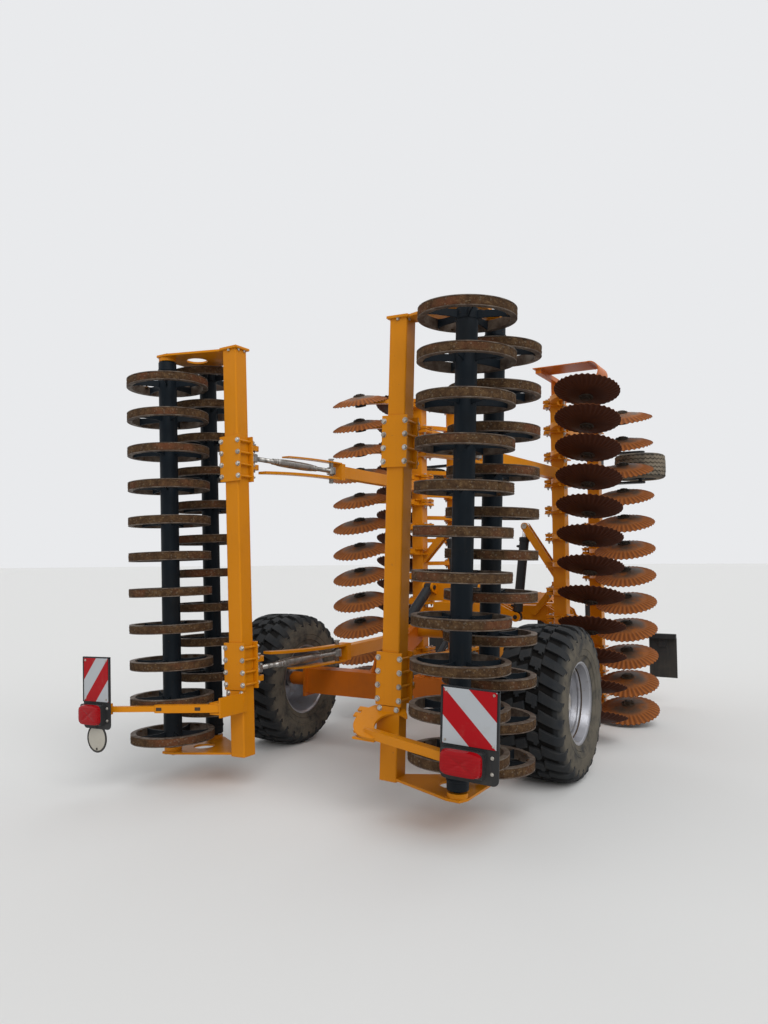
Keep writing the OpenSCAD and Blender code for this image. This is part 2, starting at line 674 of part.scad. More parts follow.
// Support wheel ahead of the front row
support_at = [front_disc_x + 20, beam_y(FRONT) + 145, 2470];
module support_foot(grow = 0) {
    box(span(beam_x(FRONT) + 10, 50), [beam_y(FRONT) + beam_w / 2 - grow, beam_y(FRONT) + beam_w / 2 + 90],
        span(support_at[2], support_w / 2 + 40 + grow));
}
module support_fork(s) {
    color(paint) placed(s) difference() {
        for (side = [-1, 1]) translate([0, 0, support_at[2] + side * (support_w / 2 + 30) - 10]) linear_extrude(20)
            union() {
                polygon([[beam_x(FRONT) - 40, beam_y(FRONT) + beam_w / 2],
                    [beam_x(FRONT) + 60, beam_y(FRONT) + beam_w / 2], [support_at[0], support_at[1] - 50],
                    [support_at[0], support_at[1] + 50], [beam_x(FRONT), beam_y(FRONT) + beam_w / 2 + 130]]);
                translate([support_at[0], support_at[1]]) circle(d = 100);
            }
        translate([support_at[0], support_at[1], support_at[2]])
            cylinder(h = support_w + 120, d = 40, center = true);
    }
    color(paint) placed(s) support_foot();
    color(paint) placed(s) translate([support_at[0], support_at[1], support_at[2]])
        cylinder(h = support_w + 84, d = 40, center = true);
}
module support_wheel(s) {
    r = support_d / 2;
    w = support_w / 2;
    color("black") placed(s) translate(support_at) difference() {
        rotate_extrude($fn = 96) polygon([[0, -w], [70, -w], [70, -w + 45], [150, -w + 45], [158, -w + 12], [r - 45, -w],
            [r - 12, -w + 14], [r, -w + 50], [r, w - 50], [r - 12, w - 14], [r - 45, w], [158, w - 12],
            [150, w - 45], [70, w - 45], [70, w], [0, w]]);
        cylinder(h = support_w + 2, d = 40 + 2 * fit, center = true);
    }
}

// Lamps and boards on an arm from the roller beam
function board_reach(s) = board_x(s)[0] + (s == RIGHT ? 60 : 62);
module light_carrier(s) {
    z = hook_z(s);
    beam_back = roller_beam_y - beam_w / 2;
    start = [roller_beam_x + (s == RIGHT ? -35 : -50), s == RIGHT ? -80 : -120];
    end = [board_reach(s), board_y(s) + 40];
    color(paint) placed(s) leaning() {
        if (s == RIGHT) {
            difference() {
                translate([0, beam_back, z + 128]) rotate([claw_tilt, 0, 0]) translate([0, -beam_back, 0])
                    linear_extrude(14) claw_2d(beam_back + 40);
                box(span(roller_beam_x, beam_w / 2), span(roller_beam_y, beam_w / 2), [z, z + 300]);
            }
            box([roller_beam_x - 120, roller_beam_x + 30], [-130, beam_back], [z, z + 12.5]);
            translate([0, 0, z + 12]) linear_extrude(50) link_2d(start, end, 60);
        } else {
            box([roller_beam_x - beam_w / 2 - 15, roller_beam_x - beam_w / 2], [-150, beam_back + 20], [z - 22, z + 106]);
            for (level = [z - 4, z + 61])
                box([roller_beam_x - beam_w / 2 - 15, roller_beam_x + 20], [-150, beam_back], [level, level + 12]);
            translate([0, 0, z + 12]) linear_extrude(50) link_2d(start, start + 0.55 * (end - start), 50);
            translate([0, 0, z + 19]) linear_extrude(36) link_2d(start + 0.5 * (end - start), end, 36);
        }
        box(span(end[0], 36), [board_y(s) + 6, board_y(s) + 52], [z + 4, z + 76]);
        box(span(roller_beam_x, 78), [beam_back - 12, beam_back], [z + 5, clamp_z(s, false) - clamp_h / 2 - 4]);
    }
}
claw_tilt = 27;
// The claw that holds the parked wing, seen from above, as far forward as front
module claw_2d(front = 280) {
    difference() {
        union() {
            translate([roller_beam_x - 10, 0]) circle(r = 165);
            translate([roller_beam_x - 126, -128]) square([160, 190]);
            translate([roller_beam_x - 205, 7]) square([110, 90]);
        }
        translate([roller_beam_x + 65, -15]) circle(r = 95);
        translate([roller_beam_x + 65, -90]) square([200, 150]);
        translate([roller_beam_x - 215, 40]) square([45, 22]);
        translate([roller_beam_x, roller_beam_y]) square(beam_w, center = true);
        translate([roller_beam_x - 300, front]) square([600, 300]);
    }
}
module light_board(s) {
    z0 = board_z(s);
    inner = board_x(s)[0];
    outer = board_x(s)[1];
    back = board_y(s) + 6;
    color(dark) placed(s) leaning() {
        box([inner - 12, outer], [back - 10, back], [z0, z0 + 480]);
        box([inner, outer - 12], [back - 16, back - 9], [z0 + 180, z0 + 472]);
        box(lamp_x(s), [back - 6 - lamp_depth, back - 9], [z0 + 30, z0 + 168]);
        if (s == LEFT) translate([inner + 124, back - 1, z0 - 61]) rotate([90, 0, 0]) cylinder(h = 8, d = 190);
    }
}

// Curled plate over the outer end of the right wing's rear row
deflector_y = [2480, 2780];
module deflector_2d(curl, r) {
    intersection() {
        translate(curl) difference() {
            circle(r + 4);
            circle(r - 4);
        }
        translate([curl[0] - 25, curl[1] - 100]) square([200, 200]);
    }
    translate([beam_x(REAR) - 40, curl[1] + r - 5]) square([curl[0] - beam_x(REAR) + 35, 8]);
}
module soil_deflector() {
    top = beam_high(RIGHT, REAR);
    r = 80;
    color(shade) placed() {
        across_y(deflector_y) deflector_2d([rear_disc_x + 45, top + 70], r);
        box(span(beam_x(REAR) + 5, 25), [deflector_y[0] + 20, beam_y(REAR) - 30], [top + r + 25, top + r + 66]);
        box(span(beam_x(REAR), 45), [beam_y(REAR) - 60, beam_y(REAR) + 50], [top, top + r + 45]);
    }
}

// Fold cylinders, drawn with the wings folded
rod_show = 106;
closed = norm(lever_tip - anchor);
barrel_len = closed - rod_show;
module fold_axis(s) {
    d = lever_tip - anchor;
    placed(s) translate([anchor[0], lever_y, anchor[1]]) rotate([0, atan2(d[0], d[1]), 0]) children();
}
module fold_barrel(s) {
    color(dark) fold_axis(s) difference() {
        union() {
            cylinder(h = 60, d = 60);
            translate([0, 0, 55]) cylinder(h = barrel_len - 55, d = barrel_d);
            rotate([90, 0, 0]) cylinder(h = 70, d = 80, center = true);
            rotate([90, 0, 0]) cylinder(h = 120, d = 40, center = true);
        }
        translate([0, 0, 80]) cylinder(h = barrel_len, d = 50 + 2 * fit);
    }
}
module fold_rod(s) {
    color(steel) fold_axis(s) {
        translate([0, 0, 100]) cylinder(h = closed - 125, d = 50);
        translate([0, 0, closed]) rotate([90, 0, 0]) cylinder(h = 47, d = 66, center = true);
    }
}

chassis_frame();
axle_beam();
lift_cylinders();
drawbar();
hitch_eye();
jack_leg();
jack_foot();
front_boards();
soil_deflector();
wheel_rim(RIGHT);  // wheel_rim_right
wheel_rim(LEFT);  // wheel_rim_left
wheel_tyre(RIGHT);  // wheel_tyre_right
wheel_tyre(LEFT);  // wheel_tyre_left
wing_frame(RIGHT);  // wing_frame_right
wing_frame(LEFT);  // wing_frame_left
disc_arms(RIGHT, REAR);  // rear_disc_arms_right
disc_arms(LEFT, REAR);  // rear_disc_arms_left
disc_arms(RIGHT, FRONT);  // front_disc_arms_right
disc_arms(LEFT, FRONT);  // front_disc_arms_left
discs(RIGHT, REAR);  // rear_discs_right
discs(LEFT, REAR);  // rear_discs_left
discs(RIGHT, FRONT);  // front_discs_right
discs(LEFT, FRONT);  // front_discs_left
roller_beam(RIGHT);  // roller_beam_right
roller_beam(LEFT);  // roller_beam_left
roller_arms(RIGHT);  // roller_arms_right
roller_arms(LEFT);  // roller_arms_left
turnbuckles(RIGHT);  // turnbuckles_right
turnbuckles(LEFT);  // turnbuckles_left
roller_ends(RIGHT);  // roller_ends_right
roller_ends(LEFT);  // roller_ends_left
roller(RIGHT, REAR);  // rear_roller_right
roller(LEFT, REAR);  // rear_roller_left
roller(RIGHT, FRONT);  // front_roller_right
roller(LEFT, FRONT);  // front_roller_left
support_fork(RIGHT);  // support_fork_right
support_fork(LEFT);  // support_fork_left
support_wheel(RIGHT);  // support_wheel_right
support_wheel(LEFT);  // support_wheel_left
light_carrier(RIGHT);  // light_carrier_right
light_carrier(LEFT);  // light_carrier_left
light_board(RIGHT);  // light_board_right
light_board(LEFT);  // light_board_left
fold_barrel(RIGHT);  // fold_barrel_right
fold_barrel(LEFT);  // fold_barrel_left
fold_rod(RIGHT);  // fold_rod_right
fold_rod(LEFT);  // fold_rod_left
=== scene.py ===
"""Looks of a trailed disc harrow that stands folded for the road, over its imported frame.

Lengths are metres. +Y is the way it is drawn, +X its right side, +Z up.
"""

import json
import logging
import math
from dataclasses import dataclass, field
from enum import Enum
from typing import Sequence

import bmesh
import bpy
import numpy as np
from mathutils import Matrix

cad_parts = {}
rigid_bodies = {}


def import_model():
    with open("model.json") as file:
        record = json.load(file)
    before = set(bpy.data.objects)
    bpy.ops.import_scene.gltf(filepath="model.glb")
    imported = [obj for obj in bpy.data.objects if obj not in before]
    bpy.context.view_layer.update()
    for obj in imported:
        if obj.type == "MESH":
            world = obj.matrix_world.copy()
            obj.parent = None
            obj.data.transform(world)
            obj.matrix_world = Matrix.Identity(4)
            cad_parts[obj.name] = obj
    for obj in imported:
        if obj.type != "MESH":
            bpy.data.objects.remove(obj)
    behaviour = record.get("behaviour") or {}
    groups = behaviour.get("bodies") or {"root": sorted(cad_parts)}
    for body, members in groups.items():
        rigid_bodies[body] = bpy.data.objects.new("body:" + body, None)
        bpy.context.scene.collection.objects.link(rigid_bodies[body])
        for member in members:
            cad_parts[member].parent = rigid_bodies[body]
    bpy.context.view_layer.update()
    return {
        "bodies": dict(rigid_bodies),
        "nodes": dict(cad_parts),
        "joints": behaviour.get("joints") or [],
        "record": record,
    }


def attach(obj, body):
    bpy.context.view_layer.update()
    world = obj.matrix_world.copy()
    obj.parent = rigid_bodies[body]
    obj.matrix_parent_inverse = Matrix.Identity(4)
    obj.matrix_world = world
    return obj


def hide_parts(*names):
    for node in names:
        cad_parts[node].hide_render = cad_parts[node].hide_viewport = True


Array = np.ndarray
Colour = tuple[float, float, float]
LOG = logging.getLogger("harrow")


class Side(Enum):
    """A side of the machine: its word in the names of nodes, and its sign along X."""

    RIGHT = "right"
    LEFT = "left"

    @property
    def sign(self) -> int:
        """1 on the right, -1 on the left."""
        return 1 if self is Side.RIGHT else -1


class Row(Enum):
    """A row of discs, or a roller."""

    REAR = "rear"
    FRONT = "front"


@dataclass(frozen=True)
class Plan:
    """Places that several sub-assemblies share, as the CAD has them before it is centred."""

    y_mid: float = 3.1825
    lean: float = math.radians(2.0)
    lean_z: float = 1.7
    roller_beam: tuple = (0.64, 0.15)
    beam_span: tuple = (0.235, 3.06)
    roller_x: float = 1.148
    front_roller_y: float = 0.42

    def placed(self, side: Side) -> Array:
        """The matrix from the drawing of the right side to a side of the centred machine."""
        m = np.eye(4)
        m[0, 0] = side.sign
        m[1, 3] = -self.y_mid
        return m

    def leaning(self, side: Side) -> Array:
        """The matrix of what leans with a folded roller: a turn about Y at the height lean_z."""
        c, s = math.cos(self.lean), math.sin(self.lean)
        turn = np.array([[c, 0, s, -s * self.lean_z], [0, 1, 0, 0],
                         [-s, 0, c, self.lean_z * (1 - c)], [0, 0, 0, 1.0]])
        return self.placed(side) @ turn

    def leaning_x(self, x: float, z: float) -> float:
        """Where a leaning upright at x stands at the height z."""
        return x + (z - self.lean_z) * math.tan(self.lean)


PLAN = Plan()


def shift(x: float = 0, y: float = 0, z: float = 0) -> Array:
    """The 4x4 matrix of a move."""
    m = np.eye(4)
    m[:3, 3] = (x, y, z)
    return m


def turned(axis: str, degrees: float) -> Array:
    """The 4x4 matrix of a turn about X, Y or Z."""
    return np.array(Matrix.Rotation(math.radians(degrees), 4, axis))


def angles(count: int) -> Array:
    """Even angles once round, from 0."""
    return np.linspace(0, 2 * math.pi, count, endpoint=False)


def polar(r: Array, a: Array, z: Array) -> Array:
    """Points at the radius r, the angle a and the height z: (r cos a, r sin a, z)."""
    return np.stack(np.broadcast_arrays(r * np.cos(a), r * np.sin(a), z), axis=-1)


def border(grid: Array) -> Array:
    """The points along the border of a grid, in order."""
    return np.concatenate([grid[:-1, 0], grid[-1, :-1], grid[:0:-1, -1], grid[0, :0:-1]])


@dataclass
class Skin:
    """A surface: points, faces as arrays of the same number of corners, and named values for each point."""

    points: Array
    faces: list = field(default_factory=list)
    values: dict = field(default_factory=dict)

    def under(self, matrix: Array) -> "Skin":
        """The same surface with each point p taken to matrix p."""
        p = self.points @ matrix[:3, :3].T + matrix[:3, 3]
        return Skin(p, self.faces, self.values)

    def marked(self, **values: float) -> "Skin":
        """The same surface with more named values, each one number for all points or one for each."""
        full = {k: np.broadcast_to(np.asarray(v, float), (len(self.points),)).copy() for k, v in values.items()}
        return Skin(self.points, self.faces, {**self.values, **full})


def joined(skins: Sequence[Skin]) -> Skin:
    """Several surfaces as one: points are stacked, and each face's corners move up by the points before it."""
    names = {k for s in skins for k in s.values}
    start, faces = 0, []
    for s in skins:
        faces += [f + start for f in s.faces]
        start += len(s.points)
    values = {k: np.concatenate([s.values.get(k, np.zeros(len(s.points))) for s in skins]) for k in names}
    return Skin(np.concatenate([s.points for s in skins]), faces, values)


def copies(skin: Skin, places: Sequence[Array]) -> Skin:
    """A surface at each of several matrices, as one."""
    return joined([skin.under(m) for m in places])


def ringed(skin: Skin, count: int, first: Array = np.eye(4)) -> Skin:
    """Copies of a surface at even angles round Z, each taken out to its radius by a matrix first."""
    return copies(skin, [turned("Z", 360 / count * k) @ first for k in range(count)])


def sheet_of(points: Array, around_u: bool = False, around_v: bool = False) -> Skin:
    """The surface through a grid of points.

    A face joins (i, j), (i + 1, j), (i + 1, j + 1) and (i, j + 1), and an index past the end starts again where
    the grid goes around.

    Args:
        points: the grid, nu by nv by 3.
        around_u: whether the last row joins the first.
        around_v: whether the last column joins the first.

    Returns:
        The surface, with its points in reading order.
    """
    nu, nv = points.shape[:2]
    i, j = np.meshgrid(np.arange(nu if around_u else nu - 1), np.arange(nv if around_v else nv - 1), indexing="ij")
    i2, j2 = (i + 1) % nu, (j + 1) % nv
    quads = np.stack([i * nv + j, i2 * nv + j, i2 * nv + j2, i * nv + j2], axis=-1).reshape(-1, 4)
    return Skin(points.reshape(-1, 3).astype(float), [quads])


def turning(profile: Sequence, steps: int = 24, closed: bool = False) -> Skin:
    """An outline of (radius, height) carried once round Z.

    Args:
        profile: the outline.
        steps: points round.
        closed: whether its last point joins its first. If not, both lie on the axis, which closes it.

    Returns:
        The surface.
    """
    p = np.asarray(profile, float)
    return sheet_of(polar(p[:, 0], angles(steps)[:, None], p[:, 1]), True, closed)


def lathe(profile: Sequence, steps: int = 48) -> Skin:
    """A ring: a closed outline of (radius, height) carried round Z."""
    return turning(profile, steps, True)


def mirrored(half: Sequence, *middle: tuple) -> list:
    """An outline of (radius, height), the points of its middle, and its mirror image across the height 0."""
    return [*half, *middle, *((r, -z) for r, z in half[::-1])]


def rod(radius: float, low: float, high: float, steps: int = 12, taper: float = 0.0) -> Skin:
    """A round bar along Z. With a taper its top is a thread's end, drawn in by that much over its last 3 mm."""
    end = [(radius, high - 0.003), (radius - taper, high)] if taper else [(radius, high)]
    return turning([(0, low), (radius, low), *end, (0, high)], steps)


def grown(outline: Array, by: float) -> Array:
    """A closed outline moved out by a distance: each corner moves along the sum n of its two sides' normals.

    It moves by 2 n / |n|^2 times the distance, with |n|^2 taken as 0.6 at least, so that sharp corners stay near.
    """
    d = outline - np.roll(outline, 1, axis=0)
    unit = np.stack([d[:, 1], -d[:, 0]], -1) / np.maximum(np.linalg.norm(d, axis=1), 1e-9)[:, None]
    n = unit + np.roll(unit, -1, axis=0)
    return outline + by * n * 2 / np.maximum((n * n).sum(1), 0.6)[:, None]


def stacked(rings: Sequence) -> Skin:
    """A solid through (outline, height) pairs of the same number of corners, with a flat face at each end."""
    skin = sheet_of(np.stack([np.column_stack([q, np.full(len(q), z)]) for q, z in rings]), False, True)
    total, n = len(skin.points), len(rings[0][0])
    skin.faces += [np.arange(n)[::-1][None], np.arange(total - n, total)[None]]
    return skin


def plate(outline: Sequence, low: float, high: float, edge: float = 0.0015) -> Skin:
    """A flat plate with chamfered edges.

    Args:
        outline: its corners in X and Y, counterclockwise.
        low: height of its underside.
        high: height of its top.
        edge: the chamfer.

    Returns:
        Four copies of the outline at (low, low + edge, high - edge, high), the outer two drawn in by the chamfer,
        with a flat face on each end.
    """
    o = np.asarray(outline, float)
    inner = grown(o, -edge)
    return stacked([(inner, low), (o, low + edge), (o, high - edge), (inner, high)])


def circle_points(radius: float, steps: int) -> Array:
    """Points (x, y) round a circle about the origin."""
    return polar(radius, angles(steps), 0)[:, :2]


def rounded_box(x: tuple, y: tuple, z: tuple, edge: float = 0.002) -> Skin:
    """A box between two corners, as a plate with chamfered edges."""
    return plate([(x[0], y[0]), (x[1], y[0]), (x[1], y[1]), (x[0], y[1])], z[0], z[1], edge)


def bolt(size: float, head: float = 0.0, washer: bool = True) -> Skin:
    """A hexagon head that stands on z = 0 and points up.

    Args:
        size: its width across the flats.
        head: its height, or 0 for 0.42 of its width.
        washer: whether a washer lies under it, 0.11 of that width thick and 1.44 of it wide.

    Returns:
        The surface.
    """
    head = head or size * 0.42
    base = size * 0.11 if washer else 0.0
    hexagon = circle_points(size / 2 / math.cos(math.pi / 6), 6)
    skin = stacked([(hexagon, base), (hexagon, base + head * 0.8), (hexagon * 0.86, base + head)])
    return joined([skin, plate(circle_points(size * 0.72, 14), 0, base, base * 0.3)]) if washer else skin


def wander(count: int, size: int, seed: int, shape: tuple = ()) -> Array:
    """A smooth closed wave of seeded random numbers, about -1 to 1: the mean of sines of whole periods.

    Args:
        count: number of sines.
        size: number of points round.
        seed: the seed.
        shape: more axes, such as the points across.

    Returns:
        The wave, size by shape.
    """
    rng = np.random.default_rng(seed)
    k = rng.integers(2, max(4, size // 3), count)
    phase = rng.uniform(0, 2 * math.pi, (count,) + shape)
    arg = (k * angles(size)[:, None])[(...,) + (None,) * len(shape)] + phase[None]
    return np.sin(arg).sum(1) / math.sqrt(count)


class Expr:
    """A socket of a shader tree that takes part in Python arithmetic: each operator adds one Math node."""

    def __init__(self, tree: bpy.types.NodeTree, socket: bpy.types.NodeSocket) -> None:
        """Wraps a socket of a tree."""
        self.tree, self.socket = tree, socket

    def math(self, operation: str, *others: object) -> "Expr":
        """The result of a Math node on this value and others."""
        return node(self.tree, "ShaderNodeMath", {"operation": operation}, dict(enumerate((self, *others))))

    def __add__(self, other: object) -> "Expr":
        """self + other."""
        return self.math("ADD", other)

    def __sub__(self, other: object) -> "Expr":
        """self - other."""
        return self.math("SUBTRACT", other)

    def __rsub__(self, other: object) -> "Expr":
        """other - self."""
        return (self * -1) + other

    def __mul__(self, other: object) -> "Expr":
        """self times other."""
        return self.math("MULTIPLY", other)

    def step(self, low: float, high: float) -> "Expr":
        """A smooth climb from 0 at low to 1 at high."""
        return node(self.tree, "ShaderNodeMapRange", {"interpolation_type": "SMOOTHSTEP"},
                    {"Value": self, "From Min": low, "From Max": high})


def node(tree: bpy.types.NodeTree, kind: str, settings: dict, inputs: dict, output: object = 0) -> Expr:
    """Adds a node.

    Args:
        tree: the tree it goes into.
        kind: its type.
        settings: its properties, which are set first; "stops" are a ramp's (place, colour) pairs.
        inputs: values or Expr for its sockets, by name or number.
        output: which output is returned.

    Returns:
        The output as an Expr.
    """
    made = tree.nodes.new(kind)
    for name, value in settings.items():
        if name == "stops":
            ramp = made.color_ramp
            while len(ramp.elements) < len(value):
                ramp.elements.new(0.5)
            for element, (place, colour) in zip(ramp.elements, value):
                element.position, element.color = place, (*colour, 1)
        else:
            setattr(made, name, value)
    for name, value in inputs.items():
        if isinstance(value, Expr):
            tree.links.new(value.socket, made.inputs[name])
        else:
            made.inputs[name].default_value = value
    return Expr(tree, made.outputs[output])


class Palette:
    """Starts a material's tree and holds what finishes share: the place on the object, noises and mixes."""

    def __init__(self, name: str) -> None:
        """Makes an empty material with a Principled shader."""
        self.material = bpy.data.materials.new(name)
        self.material.use_nodes = True
        self.tree = self.material.node_tree
        self.tree.nodes.clear()
        self.shader = self.tree.nodes.new("ShaderNodeBsdfPrincipled")
        out = self.tree.nodes.new("ShaderNodeOutputMaterial")
        self.tree.links.new(self.shader.outputs[0], out.inputs[0])
        self.place = node(self.tree, "ShaderNodeTexCoord", {}, {}, "Object")

    def noise(self, scale: float, detail: float = 4.0, stretch: tuple = (), rough: float = 0.55) -> Expr:
        """Noise of the object's place, from 0 to 1. stretch multiplies the place first."""
        place = self.place
        if stretch:
            place = node(self.tree, "ShaderNodeMapping", {}, {"Vector": place, "Scale": stretch})
        return node(self.tree, "ShaderNodeTexNoise", {},
                    {"Vector": place, "Scale": scale, "Detail": detail, "Roughness": rough})

    def cells(self, feature: str, scale: float) -> Expr:
        """A Voronoi pattern of the object's place: the distance to a cell's middle or edge."""
        return node(self.tree, "ShaderNodeTexVoronoi", {"feature": feature}, {"Vector": self.place, "Scale": scale})

    def value(self, name: str) -> Expr:
        """A named value of the piece's points."""
        return node(self.tree, "ShaderNodeAttribute", {"attribute_name": name}, {}, "Fac")

    def height(self) -> Expr:
        """The object's place along Z."""
        return node(self.tree, "ShaderNodeSeparateXYZ", {}, {0: self.place}, 2)

    def mix(self, factor: object, a: object, b: object) -> Expr:
        """Colour a where the factor is 0 and b where it is 1."""
        four = [c if isinstance(c, Expr) else (*c, 1) for c in (a, b)]
        return node(self.tree, "ShaderNodeMix", {"data_type": "RGBA"}, {0: factor, 6: four[0], 7: four[1]}, 2)

    def tones(self, factor: object, colour: Colour, dim: float) -> Expr:
        """A colour where the factor is 0, and the same colour times dim where it is 1."""
        return self.mix(factor, colour, tuple(c * dim for c in colour))

    def ramp(self, factor: Expr, *stops: tuple) -> Expr:
        """A colour ramp over (place, colour) stops."""
        return node(self.tree, "ShaderNodeValToRGB", {"stops": stops}, {0: factor})

    def bump(self, height: Expr, depth: float, strength: float = 1.0) -> Expr:
        """The normal of a surface raised by height times depth."""
        return node(self.tree, "ShaderNodeBump", {}, {"Height": height, "Distance": depth, "Strength": strength})

    def done(self, **inputs: object) -> bpy.types.Material:
        """Sets the shader's sockets, written with _ for a space, and returns the material."""
        for name, value in inputs.items():
            socket = self.shader.inputs[name.replace("_", " ")]
            if isinstance(value, Expr):
                self.tree.links.new(value.socket, socket)
            else:
                socket.default_value = (*value, 1) if isinstance(value, tuple) else value
        return self.material


@dataclass(frozen=True)
class PaintFinish:
    """Sprayed paint on steel: dust in patches, rain streaks down the sides, chips and a faint orange peel."""

    name: str
    colour: Colour
    dusty: Colour
    dirt: float = 0.35
    rough: float = 0.36
    bevel: float = 0.0035
    coat: float = 0.03
    gloss: float = 0.14
    chip: Colour = (0.11, 0.055, 0.028)

    def made(self) -> bpy.types.Material:
        """The material."""
        p = Palette(self.name)
        patches = p.noise(2.3, 6.0, rough=0.62).step(0.48, 0.78)
        streaks = p.noise(9.0, 4.0, stretch=(5, 5, 0.35)).step(0.52, 0.8)
        chips = p.noise(34.0, 3.0, rough=0.7).step(0.70, 0.74)
        low = p.height().step(1.0, 0.1)
        tone = p.tones(p.noise(1.1, 2.0), self.colour, 0.86)
        dirt = (patches * 0.75 + streaks * 0.45 + low * 0.35) * self.dirt
        colour = p.mix(chips * 0.6, p.mix(dirt, tone, self.dusty), self.chip)
        peel = p.noise(420.0, 2.0)
        normal = p.bump(peel * 0.6 + chips * -2.0 + patches * 0.5, 0.0006)
        if self.bevel:
            edge = node(p.tree, "ShaderNodeBevel", {"samples": 4}, {"Radius": self.bevel})
            p.tree.links.new(edge.socket, normal.socket.node.inputs["Normal"])
        return p.done(Base_Color=colour, Roughness=patches * 0.25 + chips * 0.2 + self.rough, Normal=normal,
                      Specular_IOR_Level=self.gloss,
                      Coat_Weight=(1 - dirt.step(0.0, 0.5)) * self.coat, Coat_Roughness=0.2)


@dataclass(frozen=True)
class SteelFinish:
    """Bare or plated steel, brushed by use, with stains."""

    name: str
    colour: Colour
    stain: Colour
    amount: float = 0.3
    rough: float = 0.34
    metallic: float = 0.85

    def made(self) -> bpy.types.Material:
        """The material."""
        p = Palette(self.name)
        stains = p.noise(14.0, 6.0, rough=0.65).step(0.62 - self.amount * 0.4, 0.85 - self.amount * 0.3)
        fine = p.noise(160.0, 3.0)
        colour = p.mix(stains, p.tones(fine, self.colour, 0.8), self.stain)
        return p.done(Base_Color=colour, Metallic=(1 - stains * 0.8) * self.metallic,
                      Roughness=fine * 0.16 + stains * 0.3 + self.rough - 0.08,
                      Normal=p.bump(fine + stains, 0.0004))


@dataclass(frozen=True)
class SoilFinish:
    """Clay packed into the rings and dried, with straw and stones in it."""

    name: str = "packed_soil"
    dark: Colour = (0.022, 0.012, 0.007)
    mid: Colour = (0.066, 0.036, 0.018)
    pale: Colour = (0.158, 0.096, 0.045)
    red: Colour = (0.15, 0.048, 0.022)
    stone: Colour = (0.3, 0.25, 0.19)
    straw: Colour = (0.42, 0.30, 0.14)

    def made(self) -> bpy.types.Material:
        """The material."""
        p = Palette(self.name)
        lumps = p.noise(26.0, 8.0, rough=0.7)
        grit = p.noise(150.0, 4.0, rough=0.7)
        stones = p.cells("F1", 38.0).step(0.32, 0.18)
        red = p.noise(3.1, 3.0).step(0.50, 0.70)
        straw = p.noise(60.0, 2.0, stretch=(1, 1, 5)).step(0.66, 0.72)
        base = p.ramp(lumps * 0.7 + grit * 0.3, (0.3, self.dark), (0.5, self.mid), (0.72, self.pale))
        stony = p.mix(stones * 0.18, p.mix(red * 0.55, base, self.red), self.stone)
        return p.done(Base_Color=p.mix(straw * 0.55, stony, self.straw), Roughness=0.93, Specular_IOR_Level=0.12,
                      Normal=p.bump(lumps * 1.4 + grit * 0.5 + stones * 0.5, 0.006))


@dataclass(frozen=True)
class DiscFinish:
    """A soil-worn disc: grey and polished round the middle, rusty in the flutes, and darkened by painted shade on the
    side that faces down.
    """

    name: str = "fluted_disc_steel"
    rust: Colour = (0.46, 0.152, 0.032)
    deep: Colour = (0.115, 0.038, 0.016)
    worn: Colour = (0.145, 0.098, 0.070)
    # shaded: the dark colour of the painted shade on the side of a disc that faces down
    shaded: Colour = (0.046, 0.013, 0.008)

    def made(self) -> bpy.types.Material:
        """The material. The points carry reach, the share of the radius, groove, the depth in a flute, and shade, the
        share of painted shade, which is high on the side that faces down.
        """
        p = Palette(self.name)
        reach, groove, shade = p.value("reach"), p.value("groove"), p.value("shade")
        cloud = p.noise(7.0, 5.0, rough=0.65)
        fine = p.noise(90.0, 5.0, rough=0.7)
        middle = (1 - reach.step(0.46, 0.74)) * cloud.step(0.28, 0.6)
        rust = p.mix(cloud * 0.45 + fine * 0.4, self.rust, self.deep)
        flutes = p.mix(groove * 0.8, rust, self.deep)
        face = p.mix(middle, flutes, p.tones(fine, self.worn, 0.55))
        # painted shade: where the value shade is high, the face turns to the dark shaded colour
        colour = p.mix(shade, face, p.tones(fine * 0.6, self.shaded, 0.4))
        return p.done(Base_Color=colour, Roughness=0.70 - middle * 0.15, Metallic=middle * 0.15 + 0.05,
                      Specular_IOR_Level=0.12, Normal=p.bump(fine * 0.8 + cloud, 0.0016))


@dataclass(frozen=True)
class RubberFinish:
    """Tyre rubber: charcoal tread blocks, painted shade in the gaps between them, and dust on the walls."""

    name: str = "dusty_rubber"
    rubber: Colour = (0.0185, 0.0215, 0.0255)
    # gap: painted shade, the dark of the grooves between the tread blocks
    gap: Colour = (0.0045, 0.0045, 0.005)
    dust: Colour = (0.118, 0.104, 0.082)

    def made(self) -> bpy.types.Material:
        """The material. The points carry dust: 0 in the gaps, where the rubber turns to the painted shade colour gap,
        a little on the blocks and 1 on the walls.
        """
        p = Palette(self.name)
        dust = p.value("dust")
        cloud = p.noise(8.0, 6.0, rough=0.65)
        fine = p.noise(220.0, 3.0)
        amount = (dust * 0.9 + 0.03) * cloud.step(0.24, 0.60) + fine * 0.04
        # painted shade: where dust is about 0, in the gaps, the rubber turns to the dark gap colour
        rubber = p.mix(dust.step(0.0, 0.05), self.gap, self.rubber)
        return p.done(Base_Color=p.mix(amount, rubber, self.dust), Roughness=amount * 0.28 + 0.66,
                      Specular_IOR_Level=0.08, Normal=p.bump(fine * 0.5 + cloud * 0.6, 0.0012))


